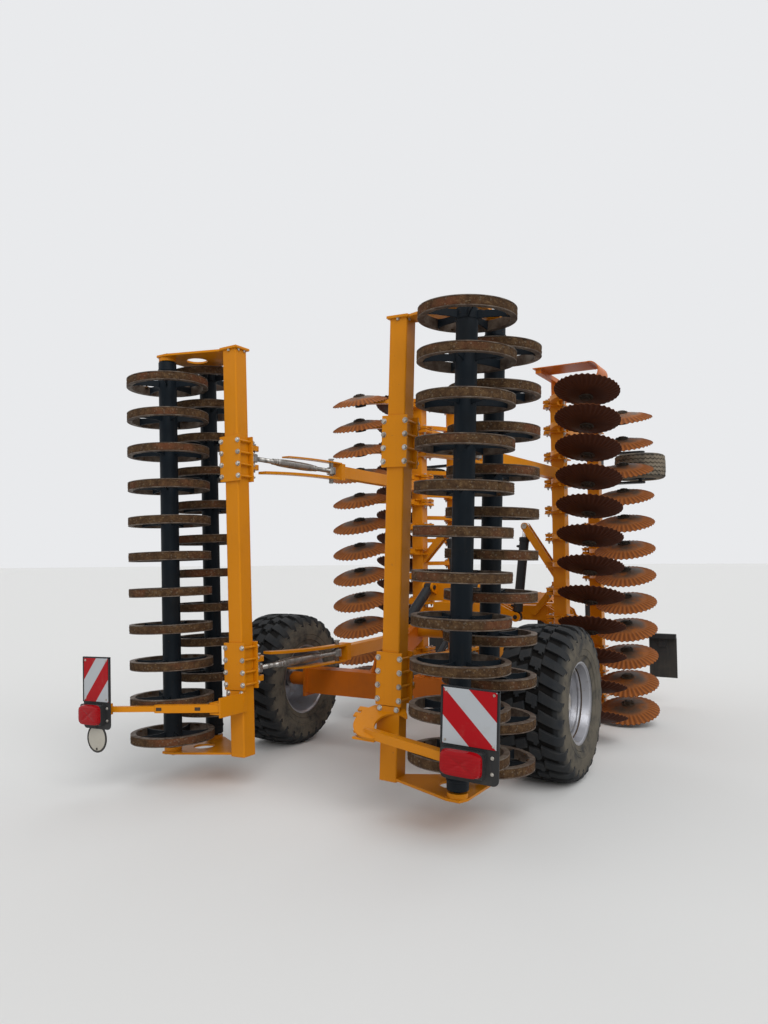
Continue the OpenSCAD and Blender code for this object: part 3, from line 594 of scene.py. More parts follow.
@dataclass(frozen=True)
class StripeFinish:
    """Reflecting red and white stripes under clear film."""

    name: str = "red_white_board"
    red: Colour = (0.34, 0.003, 0.007)
    white: Colour = (0.40, 0.42, 0.44)
    grime: Colour = (0.26, 0.21, 0.16)

    def made(self) -> bpy.types.Material:
        """The material. The points carry along, the distance across the stripes in pairs of stripes."""
        p = Palette(self.name)
        wave = p.value("along").math("FRACT")
        stripe = wave.step(0.495, 0.505) * (1 - wave.step(0.99, 1.0))
        grime = p.noise(11.0, 6.0, rough=0.66).step(0.52, 0.86)
        colour = p.mix(grime * 0.3, p.mix(stripe, self.red, self.white), self.grime)
        return p.done(Base_Color=colour, Roughness=grime * 0.35 + 0.34, Coat_Weight=0.03, Coat_Roughness=0.12,
                      Specular_IOR_Level=0.12, Normal=p.bump(p.cells("DISTANCE_TO_EDGE", 260.0), 0.0006, 0.35))


@dataclass(frozen=True)
class LampFinish:
    """A moulded lamp glass with fine ribs."""

    name: str = "red_lamp_glass"
    colour: Colour = (0.29, 0.002, 0.005)
    dull: Colour = (0.28, 0.03, 0.02)

    def made(self) -> bpy.types.Material:
        """The material."""
        p = Palette(self.name)
        ribs = (p.height() * 420.0).math("SINE")
        dull = p.noise(30.0, 4.0).step(0.5, 0.9)
        return p.done(Base_Color=p.mix(dull * 0.3, self.colour, self.dull), Roughness=dull * 0.2 + 0.16,
                      Coat_Weight=0.08, Specular_IOR_Level=0.15, Normal=p.bump(ribs, 0.0006, 0.5))


class Finish(Enum):
    """The finishes of the machine."""

    PAINT = PaintFinish("harrow_paint", (0.64, 0.225, 0.003), (0.26, 0.10, 0.016), dirt=0.24)
    # a darker, redder copy of the harrow paint with more dirt: painted shade for the low axle beam and soil deflector
    PAINT_SHADE = PaintFinish("axle_paint_painted_shade", (0.53, 0.128, 0.006), (0.17, 0.06, 0.020), dirt=0.42)
    BLACK = PaintFinish("black_paint", (0.022, 0.024, 0.027), (0.10, 0.085, 0.065), dirt=0.5, rough=0.42, bevel=0.002)
    COVER = PaintFinish("soiled_cover", (0.036, 0.028, 0.022), (0.15, 0.095, 0.06), dirt=0.95, rough=0.6,
                        bevel=0, coat=0.0, gloss=0.1)
    ROLLER = PaintFinish("roller_paint", (0.0060, 0.0105, 0.0155), (0.030, 0.024, 0.018), dirt=0.4, rough=0.5,
                         bevel=0, coat=0.0, gloss=0.12)
    WHITE = PaintFinish("white_plate", (0.50, 0.48, 0.42), (0.26, 0.22, 0.16), dirt=0.6, bevel=0)
    SILVER = SteelFinish("rim_silver", (0.36, 0.36, 0.385), (0.20, 0.17, 0.13), 0.25, 0.36, 0.8)
    ZINC = SteelFinish("zinc_plate", (0.50, 0.48, 0.44), (0.22, 0.17, 0.12), 0.45)
    THREAD = SteelFinish("worn_thread", (0.38, 0.37, 0.35), (0.10, 0.085, 0.07), 0.55, 0.3, 0.95)
    CHROME = SteelFinish("chrome_rod", (0.72, 0.72, 0.73), (0.3, 0.26, 0.2), 0.1, 0.2, 1.0)
    FLANGE = SteelFinish("worn_ring_edge", (0.155, 0.118, 0.088), (0.055, 0.032, 0.02), 0.7, 0.55, 0.4)
    EYE = SteelFinish("forged_eye", (0.10, 0.095, 0.09), (0.13, 0.07, 0.04), 0.5, 0.55, 0.5)
    SOIL = SoilFinish()
    DISC = DiscFinish()
    RUBBER = RubberFinish()
    SMALL_RUBBER = RubberFinish("support_rubber", dust=(0.21, 0.175, 0.13))
    STRIPES = StripeFinish()
    LAMP = LampFinish()

    @property
    def material(self) -> bpy.types.Material:
        """The material of this finish, made when it is first asked for."""
        return bpy.data.materials.get(self.value.name) or self.value.made()


def mesh_of(name: str, skin: Skin, materials: Sequence[bpy.types.Material]) -> bpy.types.Mesh:
    """A surface as a mesh.

    Args:
        name: the mesh's name.
        skin: the surface; its value "finish" numbers each face's material.
        materials: the materials.

    Returns:
        The mesh, with the surface's other values as attributes of its points.
    """
    mesh = bpy.data.meshes.new(name)
    sizes = np.concatenate([np.full(len(f), f.shape[1]) for f in skin.faces])
    corners = np.concatenate([f.ravel() for f in skin.faces])
    starts = np.concatenate([[0], np.cumsum(sizes)[:-1]])
    mesh.vertices.add(len(skin.points))
    mesh.vertices.foreach_set("co", skin.points.ravel())
    mesh.loops.add(len(corners))
    mesh.loops.foreach_set("vertex_index", corners)
    mesh.polygons.add(len(sizes))
    mesh.polygons.foreach_set("loop_start", starts)
    for material in materials:
        mesh.materials.append(material)
    for key, value in skin.values.items():
        if key == "finish":
            mesh.polygons.foreach_set("material_index", value[corners[starts]].astype(int))
        else:
            mesh.attributes.new(key, "FLOAT", "POINT").data.foreach_set("value", value)
    mesh.update()
    mesh.validate()
    return mesh


def linked(name: str, data: bpy.types.ID) -> bpy.types.Object:
    """A new object of the scene with the data."""
    obj = bpy.data.objects.new(name, data)
    bpy.context.scene.collection.objects.link(obj)
    return obj


def piece(name: str, skin: Skin, finish: Finish, body: str, replaces: Sequence[str] = (),
          smooth: float = 35.0, finishes: Sequence[Finish] = ()) -> None:
    """Makes an object of the machine from a surface.

    Args:
        name: the object's name.
        skin: its surface in the machine's frame; the value "finish" picks one of the finishes for a face.
        finish: its first finish.
        body: the CAD body it rides on.
        replaces: the CAD nodes it stands for.
        smooth: edges sharper than this many degrees stay sharp.
        finishes: more finishes.
    """
    mesh = mesh_of(name, skin, [f.material for f in (finish, *finishes)])
    work = bmesh.new()
    work.from_mesh(mesh)
    bmesh.ops.remove_doubles(work, verts=work.verts, dist=1e-6)
    bmesh.ops.recalc_face_normals(work, faces=work.faces)
    work.to_mesh(mesh)
    work.free()
    mesh.shade_smooth()
    mesh.set_sharp_from_angle(angle=math.radians(smooth))
    obj = linked(name, mesh)
    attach(obj, body)
    if replaces:
        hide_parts(*replaces)
    LOG.info("%s: %d faces on %s", name, len(mesh.polygons), body)


def dress(frame: dict, finish: Finish, *nodes: str) -> None:
    """Gives CAD nodes a finish in all their slots."""
    for name in nodes:
        obj = frame["nodes"][name]
        if not obj.data.materials:
            obj.data.materials.append(None)
        for slot in obj.material_slots:
            slot.material = finish.material


@dataclass
class Assembly:
    """A sub-assembly of one side of the machine."""

    side: Side

    @property
    def word(self) -> str:
        """The side's word in names."""
        return self.side.value

    @property
    def wing(self) -> str:
        """The body of the side's wing."""
        return f"wing_{self.word}"

    @property
    def placed(self) -> Array:
        """The matrix of what stands upright."""
        return PLAN.placed(self.side)

    @property
    def leaning(self) -> Array:
        """The matrix of what leans with the folded roller."""
        return PLAN.leaning(self.side)

    def pick(self, right: object, left: object) -> object:
        """The first value on the right side, the second on the left."""
        return right if self.side is Side.RIGHT else left


@dataclass
class RowAssembly(Assembly):
    """A sub-assembly that each side has at the rear and at the front."""

    row: Row

    @property
    def rear(self) -> bool:
        """Whether it is the rear one."""
        return self.row is Row.REAR

    @property
    def paired(self) -> bool:
        """Whether it is the rear one on the right or the front one on the left, which stand alike."""
        return self.rear == (self.side is Side.RIGHT)


@dataclass
class DiscRow(RowAssembly):
    """Twelve fluted discs of one row of a wing, their hubs and covers, and the clamps of their arms on the beam."""

    count: int = 12
    pitch: float = 0.25
    radius: float = 0.28
    dish: float = 0.07
    thick: float = 0.006
    flutes: int = 36
    flute_depth: float = 0.0042
    flute_from: float = 0.6
    flute_climb: float = 0.16
    sweep: float = 2.2
    notch: float = 0.0035
    edge: float = 0.003
    shares: tuple = (0.34, 0.5, 0.6, 0.66, 0.72, 0.79, 0.86, 0.93, 1.0)
    # shade: the amount of painted shade on the side of each disc that faces down
    shade: float = 0.92
    turn_step: float = 1.7
    hub_low: float = -0.0610
    seat_radius: float = 0.056
    hub_length: float = 0.1
    around: int = 216
    lever_disc: int = 5
    beam: tuple = (-0.41, 0.49)

    @property
    def at(self) -> tuple:
        """Where the row's lowest disc is."""
        x, y = (1.15, 2.57) if self.rear else (1.215, 3.525)
        return x, y, self.pick(0.24, 0.37) if self.rear else self.pick(0.115, 0.495)

    def on_disc(self, index: int) -> Array:
        """The matrix from a disc's own axes to its place: local +Z looks out of the hollow side."""
        x, y, z = self.at
        return self.placed @ shift(x, y, z + index * self.pitch) @ turned("X", -18 if self.paired else -162)

    def on_beam(self, index: int, dx: float = 0, dy: float = 0) -> Array:
        """The matrix to a place beside the beam's axis, at the height of a disc."""
        x, y, z = self.at
        return self.placed @ shift(x + self.beam[0] + dx, y + self.beam[1] + dy, z + index * self.pitch)

    def at_lever(self, index: int) -> bool:
        """Whether the fold cylinder's lever takes the place of a clamp's inner side."""
        return self.rear and index == self.lever_disc

    def disc(self, start: float) -> Skin:
        """One disc.

        Each side is the sphere z = c - sqrt(R^2 - r^2), flat under the hub on the hollow side. It is raised by
        flute_depth times (cos(phase) - 0.6) times a climb that begins at flute_from of the radius, and phase grows
        by flutes times the angle, and with the radius by sweep, so that the flutes lean. The rim follows
        radius - notch (1 - cos(flutes times a)) / 2.

        Args:
            start: the angle of its first flute.

        Returns:
            Its two sides and rim, with the values reach, groove and shade.
        """
        big = (self.radius ** 2 + self.dish ** 2) / (2 * self.dish)
        share = np.array([[0.0, self.seat_radius / self.radius, *self.shares]])
        at_rim = share > 0.99
        a = angles(self.around)[:, None]
        climb = np.clip((share - self.flute_from) / self.flute_climb, 0, 1)
        climb = climb * climb * (3 - 2 * climb)
        wave = np.cos(self.flutes * (a + start) + self.sweep * (share - self.flute_from))
        r = share * self.radius - self.notch * at_rim * (1 - np.cos(self.flutes * (a + start))) / 2
        lift = self.flute_depth * climb * (wave - 0.6)
        low, high = (big - self.dish - np.sqrt((big - t) ** 2 - r ** 2) + lift for t in (0, self.thick))
        high = np.where(share < 0.3, high[:, 1:2], high - self.edge * at_rim)
        skin = sheet_of(np.concatenate([polar(r, a, low), polar(r, a, high)[:, ::-1]], axis=1), True)
        reach = np.broadcast_to(share, low.shape)
        # painted shade goes on the side that faces down: the round side on paired rows, the hollow side on the others
        shades = (self.shade, 0.0) if self.paired else (0.0, self.shade)
        values = {"reach": (reach, reach), "groove": (climb * (1 - wave) / 2, climb * (1 + wave) / 2),
                  "shade": tuple(np.full(low.shape, s) for s in shades)}
        return skin.marked(**{k: np.concatenate([u, v[:, ::-1]], 1).ravel() for k, (u, v) in values.items()})

    def centre(self) -> Skin:
        """The cover of a disc's middle on the round side: a stepped plate with six bolts and a cap."""
        z = -self.dish
        base = turning([(0, z + 0.003), (0.058, z + 0.003), (0.059, z), (0.059, z - 0.006), (0.057, z - 0.008),
                        (0.034, z - 0.008), (0.032, z - 0.017), (0.026, z - 0.021), (0, z - 0.022)], 28)
        head = bolt(0.016, washer=False).under(turned("X", 180))
        return joined([base, ringed(head, 6, shift(0.045, 0, z - 0.0075))])

    def hub(self) -> Skin:
        """The sleeve over a disc's bearing housing, with its seal lip and end cap."""
        z, e = self.hub_low, self.hub_low + self.hub_length
        return lathe([(0.046, z + 0.006), (0.0565, z + 0.006), (0.0575, z + 0.012), (0.0575, z + 0.03),
                      (0.0565, z + 0.034), (0.0565, e - 0.012), (0.055, e + 0.0008), (0.04, e + 0.003),
                      (0.036, e - 0.004)], 28)

    def ear_bolts(self) -> Skin:
        """Bolts with nuts through the two plates that clamp each arm to the beam."""
        over = turned("X", 180)
        head, tip = bolt(0.024), rod(0.008, 0, 0.019, taper=0.002)
        whole = joined([head.under(shift(z=0.032)), head.under(shift(z=-0.032) @ over), rod(0.008, -0.033, 0.033),
                        tip.under(shift(z=-0.041) @ over)])
        return copies(whole, [self.on_beam(i, dx, dy) for i in range(self.count)
                              for dx, dy in ((-0.094, -0.052), (-0.094, 0.06), (0.073, -0.05))
                              if dx > 0 or not self.at_lever(i)])

    def clamp_blocks(self) -> Skin:
        """Two blocks between the plates of each clamp, inside the beam, with a narrow gap between them."""
        pair = [rounded_box((-0.119, -0.0603), (-0.078, 0.088), z) for z in ((-0.0198, -0.003), (0.003, 0.0198))]
        return copies(joined(pair), [self.on_beam(i) for i in range(self.count) if not self.at_lever(i)])

    def build(self) -> None:
        """Builds the row."""
        name = f"{self.row.value}_discs_{self.word}"
        places = [self.on_disc(i) for i in range(self.count)]
        discs = joined([self.disc(self.turn_step * i).under(m) for i, m in enumerate(places)])
        piece(f"fluted_{name}", discs, Finish.DISC, self.wing, [name], 40)
        piece(f"covers_{name}", copies(self.centre(), places), Finish.COVER, self.wing)
        piece(f"hubs_{name}", copies(self.hub(), places), Finish.BLACK, self.wing)
        piece(f"bolts_{name}", self.ear_bolts(), Finish.ZINC, self.wing)
        piece(f"clamps_{name}", self.clamp_blocks(), Finish.PAINT, self.wing)


@dataclass
class RingRoller(RowAssembly):
    """One roller of channel rings filled with soil."""

    rings: int = 11
    pitch: float = 0.25
    first_ring: float = 0.492
    turn_step: float = 23
    radius: float = 0.286
    width: float = 0.06
    depth: float = 0.036
    steel: float = 0.006
    chamfer: float = 0.0012
    tube: float = 0.0635
    tube_span: tuple = (0.3, 3.025)
    spokes: int = 5
    soil_grid: tuple = (150, 7)
    soil_rough: float = 0.0012
    soil_gap: float = 0.012
    soil_gap_from: float = 1.15
    clod_count: int = 7

    def along(self, z: float) -> Array:
        """The matrix to the roller's axis at a height."""
        return self.leaning @ shift(PLAN.roller_x, 0.0 if self.rear else PLAN.front_roller_y, z)

    def on_ring(self, index: int) -> Array:
        """The matrix to a ring's middle, turned by its own angle."""
        first = self.first_ring - (0 if self.paired else self.pitch / 2)
        return self.along(first + index * self.pitch) @ turned("Z", self.turn_step * index)

    def ring(self) -> Skin:
        """The channel: its U outline carried round, with chamfered lips."""
        r, b, w, t, c = self.radius, self.radius - self.depth, self.width / 2, self.steel, self.chamfer
        half = [(b, -w + c), (b + c, -w), (r - c, -w), (r, -w + c), (r, -w + t - c), (r - c, -w + t), (b + t, -w + t)]
        return lathe(mirrored(half), 96)

    def spoke_set(self) -> Skin:
        """Flat spokes from the tube to the channel, widening at both ends."""
        base = self.radius - self.depth + 0.0005
        r = np.array([self.tube - 0.003, 0.075, 0.10, 0.19, 0.225, base])
        half = np.array([0.027, 0.024, 0.021, 0.021, 0.024, 0.028])
        outline = np.concatenate([np.stack([r, -half], -1), np.stack([r[::-1], half[::-1]], -1)])
        return ringed(plate(outline, -0.005, 0.005, 0.0012).under(turned("X", 90)), self.spokes)

    def soil(self, seed: int) -> Skin:
        """The soil in the channel: lip radius + a seeded wave round and across, less gaps where another is high."""
        n, m = self.soil_grid
        w, base = self.width / 2 - self.steel + 0.0003, self.radius - self.depth + self.steel - 0.0005
        across = np.linspace(-w, w, m)
        round_off = np.where(np.abs(across) > w * 0.9, -0.003, 0.0)
        wave = wander(26, n, seed, (m,)) * self.soil_rough
        ragged = np.clip(wander(9, n, seed + 500) - self.soil_gap_from, 0, 1)[:, None] * -self.soil_gap
        a = angles(n)[:, None]
        top = polar(self.radius - 0.0005 + round_off + wave + ragged, a, across)
        return sheet_of(np.concatenate([polar(base, a, -w), top, polar(base, a, w)], axis=1), True, True)

    def clods(self, seed: int) -> Skin:
        """Lumps stuck to the channel's inside: small faceted balls r = s (1 + wave) at seeded places."""
        rng = np.random.default_rng(seed)
        out = []
        u, v = np.meshgrid(angles(8), np.linspace(0, math.pi, 6), indexing="ij")
        for _ in range(self.clod_count):
            size = rng.uniform(0.006, 0.015)
            r = size * (1 + 0.25 * np.sin(3 * u + rng.uniform(0, 6)) * np.sin(v) * np.sin(2 * v + rng.uniform(0, 6)))
            ball = sheet_of(polar(r * np.sin(v), u, 0.7 * r * np.cos(v)), True)
            a, way = rng.uniform(0, 360), rng.choice((-1, 1))
            out.append(ball.under(turned("Z", a) @ shift(self.radius - self.depth - 0.003, 0, way * 0.022)))
        return joined(out)

    def shaft(self) -> Skin:
        """The tube with its end flanges and the stubs that turn in the bearings."""
        (lo, hi), t = self.tube_span, self.tube
        end = [(0.025, -0.002), (0.055, 0), (t - 0.002, 0), (t, 0.002), (t, 0.05), (t + 0.004, 0.052),
               (t + 0.004, 0.062), (t, 0.064)]
        return turning([(0, lo - 0.034), (0.025, lo - 0.034), *((r, lo + z) for r, z in end),
                        *((r, hi - z) for r, z in end[::-1]), (0.025, hi + 0.028), (0, hi + 0.028)], 40)

    def build(self) -> None:
        """Builds the roller."""
        name = f"{self.row.value}_roller_{self.word}"
        places = [self.on_ring(i) for i in range(self.rings)]
        seed = self.pick(7, 57) + (0 if self.rear else 100)
        steel = [self.shaft().under(self.along(0)), copies(self.spoke_set(), places)]
        piece(f"spoked_{name}", joined(steel), Finish.ROLLER, name, [name])
        piece(f"rings_{name}", copies(self.ring(), places), Finish.FLANGE, name)
        soil = [joined([self.soil(seed + i), self.clods(seed + i)]).under(m) for i, m in enumerate(places)]
        piece(f"soil_{name}", joined(soil), Finish.SOIL, name, smooth=60)


@dataclass
class TransportWheel(Assembly):
    """A wide transport wheel: block tread, dusty walls and a deep silver rim."""

    at: tuple = (1.18, 1.39, 0.54)
    radius: float = 0.54
    rim: float = 0.295
    pitches: int = 27
    drawn_pitch: float = 0.1257
    slant: float = 0.062
    groove: float = 0.024
    crown_at: tuple = (0, 0.12, 0.18, 0.218, 0.236, 0.24)
    crown_drop: tuple = (0, 0.003, 0.008, 0.022, 0.06, 0.08)
    around: int = 108
    block_grid: tuple = (5, 6)
    nut_count: int = 10
    nut_circle: float = 0.1425
    disc_height: float = 0.045

    def crown(self, across: Array) -> Array:
        """The radius of the tread across the tyre: flat in the middle, falling to the shoulders."""
        return np.interp(np.abs(across), self.crown_at, [self.radius - d for d in self.crown_drop]) - 0.0004

    def carcass(self) -> Skin:
        """The tyre's body under the blocks, with its lip over the rim's flange and mould rings on its walls."""
        b, g = self.rim, self.groove
        wall = [(b - 0.058, 0.06), (b - 0.012, 0.18), (b + 0.008, 0.2035), (b + 0.0095, 0.2122), (b - 0.008, 0.2124),
                (b - 0.0095, 0.2140), (b - 0.006, 0.2160), (b + 0.012, 0.2175), (b + 0.026, 0.2255),
                (b + 0.03, 0.2225), (b + 0.036, 0.2315), (b + 0.07, 0.2365), (b + 0.074, 0.234), (b + 0.08, 0.2385),
                (b + 0.11, 0.2395), (b + 0.145, 0.2375), (b + 0.16, 0.232), (b + 0.168, 0.2335)]
        top = [(self.radius - 0.055, 0.2265), (self.radius - 0.034, 0.208), (self.radius - g - 0.006, 0.17),
               (self.radius - g, 0.11)]
        # dust 0 at the groove floor gives it the painted shade colour of the gaps
        dust = [1.0] * len(wall) + [0.5, 0.1, 0.0, 0.0]
        skin = lathe(mirrored(wall + top, (self.radius - g, 0.0)), self.around)
        return skin.marked(dust=np.tile([*dust, 0.0, *dust[::-1]], self.around))

    def block(self, outline: Sequence) -> Skin:
        """A tread block.

        A point at u along the tread and v across it goes to (R cos(u / R), R sin(u / R), v), with R the crown's
        radius at v. The top is a grid between the outline's four corners, drawn in a little, and its border drops
        to the groove with a draught.

        Args:
            outline: four corners (u, v), counterclockwise.

        Returns:
            The block, with the value dust.
        """
        c = np.asarray(outline, float)
        n, m = self.block_grid
        s, t = np.linspace(0, 1, n)[:, None, None], np.linspace(0, 1, m)[None, :, None]
        layers = []
        for inset, drop in ((-0.05, self.groove + 0.012), (0.0, 0.0015), (0.035, 0.0)):
            q = c + (c.mean(0) - c) * inset
            g = (1 - s) * ((1 - t) * q[0] + t * q[3]) + s * ((1 - t) * q[1] + t * q[2])
            layers.append(polar(self.crown(g[..., 1]) - drop, g[..., 0] / self.radius, g[..., 1]))
        wall = sheet_of(np.stack([border(layer) for layer in layers]), False, True)
        edge = len(wall.points) // len(layers)
        wall.faces.append(np.arange(edge)[None, ::-1])
        # dust 0 at the foot of each block's wall gives it the painted shade colour of the gaps
        dusty = np.repeat([0.0, 0.12, 0.12], edge)
        return joined([wall.marked(dust=dusty), sheet_of(layers[-1]).marked(dust=0.05)])

    def tread(self) -> Skin:
        """Slanted shoulder lugs and two rows of stepped middle blocks, repeated round the tyre.

        Their outlines are drawn for steps of drawn_pitch along the tread, and stretched to the real step.
        """
        k, slant = 2 * math.pi * self.radius / self.pitches / self.drawn_pitch, self.slant
        lug = [(0, 0.092), (0.069 * k, 0.084), (0.069 * k + slant, 0.226), (0.010 + slant, 0.234)]
        inner = [(0.012 * k, 0.010), (0.082 * k, 0.004), (0.104 * k, 0.078), (0.036 * k, 0.084)]
        tie = [(0.070 * k, 0.050), (0.112 * k, 0.046), (0.118 * k, 0.066), (0.078 * k, 0.072)]
        half = joined([self.block(q) for q in (lug, inner, tie)])
        other = Skin(half.points * (1, 1, -1), half.faces, half.values).under(turned("Z", 180 / self.pitches))
        return ringed(joined([half, other]), self.pitches)

    def nuts(self) -> Skin:
        """Ten wheel nuts on the disc of the rim, a hub cap and the valve."""
        nut = joined([bolt(0.03, 0.022), rod(0.01, 0.02, 0.037, taper=0.003)])
        cap = turning([(0, 0.109), (0.066, 0.109), (0.067, 0.113), (0.067, 0.121), (0.062, 0.127), (0.03, 0.131),
                       (0, 0.132)], 36)
        valve = turning([(0, 0.04), (0.006, 0.04), (0.006, 0.062), (0.004, 0.064), (0.004, 0.075), (0, 0.076)], 12)
        ring = ringed(nut, self.nut_count, shift(self.nut_circle, 0, self.disc_height))
        return joined([ring, cap, valve.under(turned("Z", 18) @ shift(0.195))])

    def on_barrel(self, z: float, in_by: float) -> tuple:
        """A point (radius, height) that lies in_by inside the barrel's conical inner side."""
        return self.rim - 0.070 + (z - 0.06) * 0.3 - in_by, z

    def steps(self) -> Skin:
        """A pressed ridge on the barrel's inside, the well's step and the flange's edge, and beside the ridge a dark
        ring of painted shade, the shadow line at the barrel's step.
        """
        r = self.rim
        ridge = [self.on_barrel(*p) for p in ((0.118, -0.001), (0.121, 0.008), (0.126, 0.010), (0.136, 0.009),
                                              (0.140, 0.004), (0.141, -0.001))]
        # dirt: a thin dark ring of painted shade beside the ridge, the shadow line at the barrel's step
        dirt = [self.on_barrel(*p) for p in ((0.1405, -0.001), (0.141, 0.0015), (0.149, 0.0015), (0.150, -0.001))]
        well = [(r - 0.060, 0.056), (r - 0.0745, 0.058), (r - 0.0765, 0.066), (r - 0.072, 0.078), (r - 0.058, 0.082)]
        edge = [(r - 0.020, 0.205), (r - 0.021, 0.2105), (r - 0.016, 0.2115), (r + 0.006, 0.2112),
                (r + 0.0085, 0.209), (r + 0.0085, 0.205)]
        shapes = ((ridge, 0), (well, 0), (edge, 0), (dirt, 1))
        return joined([lathe(q, 96).marked(finish=number) for q, number in shapes])

    def build(self, frame: dict) -> None:
        """Builds the wheel. Its own Z axis looks outward."""
        name, word, place = f"wheel_{self.word}", self.word, self.placed @ shift(*self.at) @ turned("Y", 90)
        piece(f"tread_tyre_{word}", joined([self.carcass(), self.tread()]).under(place), Finish.RUBBER, name,
              [f"wheel_tyre_{word}"], 32)
        dress(frame, Finish.SILVER, f"wheel_rim_{word}")
        # the second finish, COVER, gives the ring of painted shade beside the ridge
        piece(f"steps_rim_{word}", self.steps().under(place), Finish.SILVER, name,
              finishes=[Finish.COVER])
        piece(f"nuts_wheel_{word}", self.nuts().under(place), Finish.ZINC, name)


@dataclass
class SupportWheel(Assembly):
    """The small wheel ahead of a front row, with five zigzag ribs."""

    at: tuple = (1.235, 4.16, 2.47)
    radius: float = 0.25
    half: float = 0.125
    waves: int = 32
    swing: float = 0.008
    ribs: int = 5

    def tyre(self) -> Skin:
        """The tyre.

        Rows of points run round it at (radius, height, swing, dust): each goes to height + swing times a triangle
        wave of the angle, so that ribs and grooves zigzag together.
        """
        r, w, s = self.radius, self.half, self.swing
        wall = [(0.158, -w + 0.012, 0, 1), (r - 0.09, -w + 0.002, 0, 1), (r - 0.045, -w, 0, 1),
                (r - 0.02, -w + 0.008, 0, 0.9), (r - 0.009, -w + 0.02, 0.002, 0.6)]
        rows = list(wall)
        edges = np.linspace(-w + 0.024, w - 0.024, self.ribs + 1)
        for k in range(self.ribs):
            out = abs(k - self.ribs // 2)
            lo, hi = edges[k] + 0.0055, edges[k + 1] - 0.0055
            low_r = r - 0.0105 - 0.004 * (out == 2)
            top = r - 0.0006 - (0, 0.0006, 0.004)[out]
            # the groove rows carry dust 0, which gives them the painted shade colour of the gaps
            rows += [(low_r, lo - 0.003, s, 0), (top, lo, s, 1), (top, hi, s, 1), (low_r, hi + 0.003, s, 0)]
        rows += [(radius, -z, swing, dust) for radius, z, swing, dust in wall[::-1]]
        rows += [(0.15, w - 0.045, 0, 1), (0.1, 0.07, 0, 1), (0.1, -0.07, 0, 1), (0.15, -w + 0.045, 0, 1)]
        g = np.array(rows, float)
        n = self.waves * 4
        wave = np.tile([0.0, 1.0, 0.0, -1.0], self.waves)[:, None]
        points = polar(g[:, 0], angles(n)[:, None], g[:, 1] + g[:, 2] * wave)
        return sheet_of(points, True, True).marked(dust=np.tile(g[:, 3], n))

    def rim(self) -> Skin:
        """The pressed rim halves with their bolts and the hub."""
        w = self.half
        half = [(0.0205, -w + 0.002), (0.042, -w + 0.002), (0.046, -w + 0.006), (0.046, -w + 0.04),
                (0.07, -w + 0.046), (0.108, -w + 0.044), (0.12, -w + 0.03), (0.148, -w + 0.016),
                (0.158, -w + 0.011), (0.161, -w + 0.015), (0.152, -w + 0.05), (0.1, -w + 0.06)]
        nuts = ringed(bolt(0.019), 6, shift(0.085, 0, w - 0.0452))
        return joined([lathe(mirrored(half), 48), nuts, nuts.under(turned("X", 180))])

    def build(self) -> None:
        """Builds the wheel."""
        place = self.placed @ shift(*self.at)
        name = f"support_wheel_{self.word}"
        piece(f"ribbed_{name}", self.tyre().under(place), Finish.SMALL_RUBBER, name, [name], 32)
        piece(f"rim_{name}", self.rim().under(place), Finish.BLACK, name)


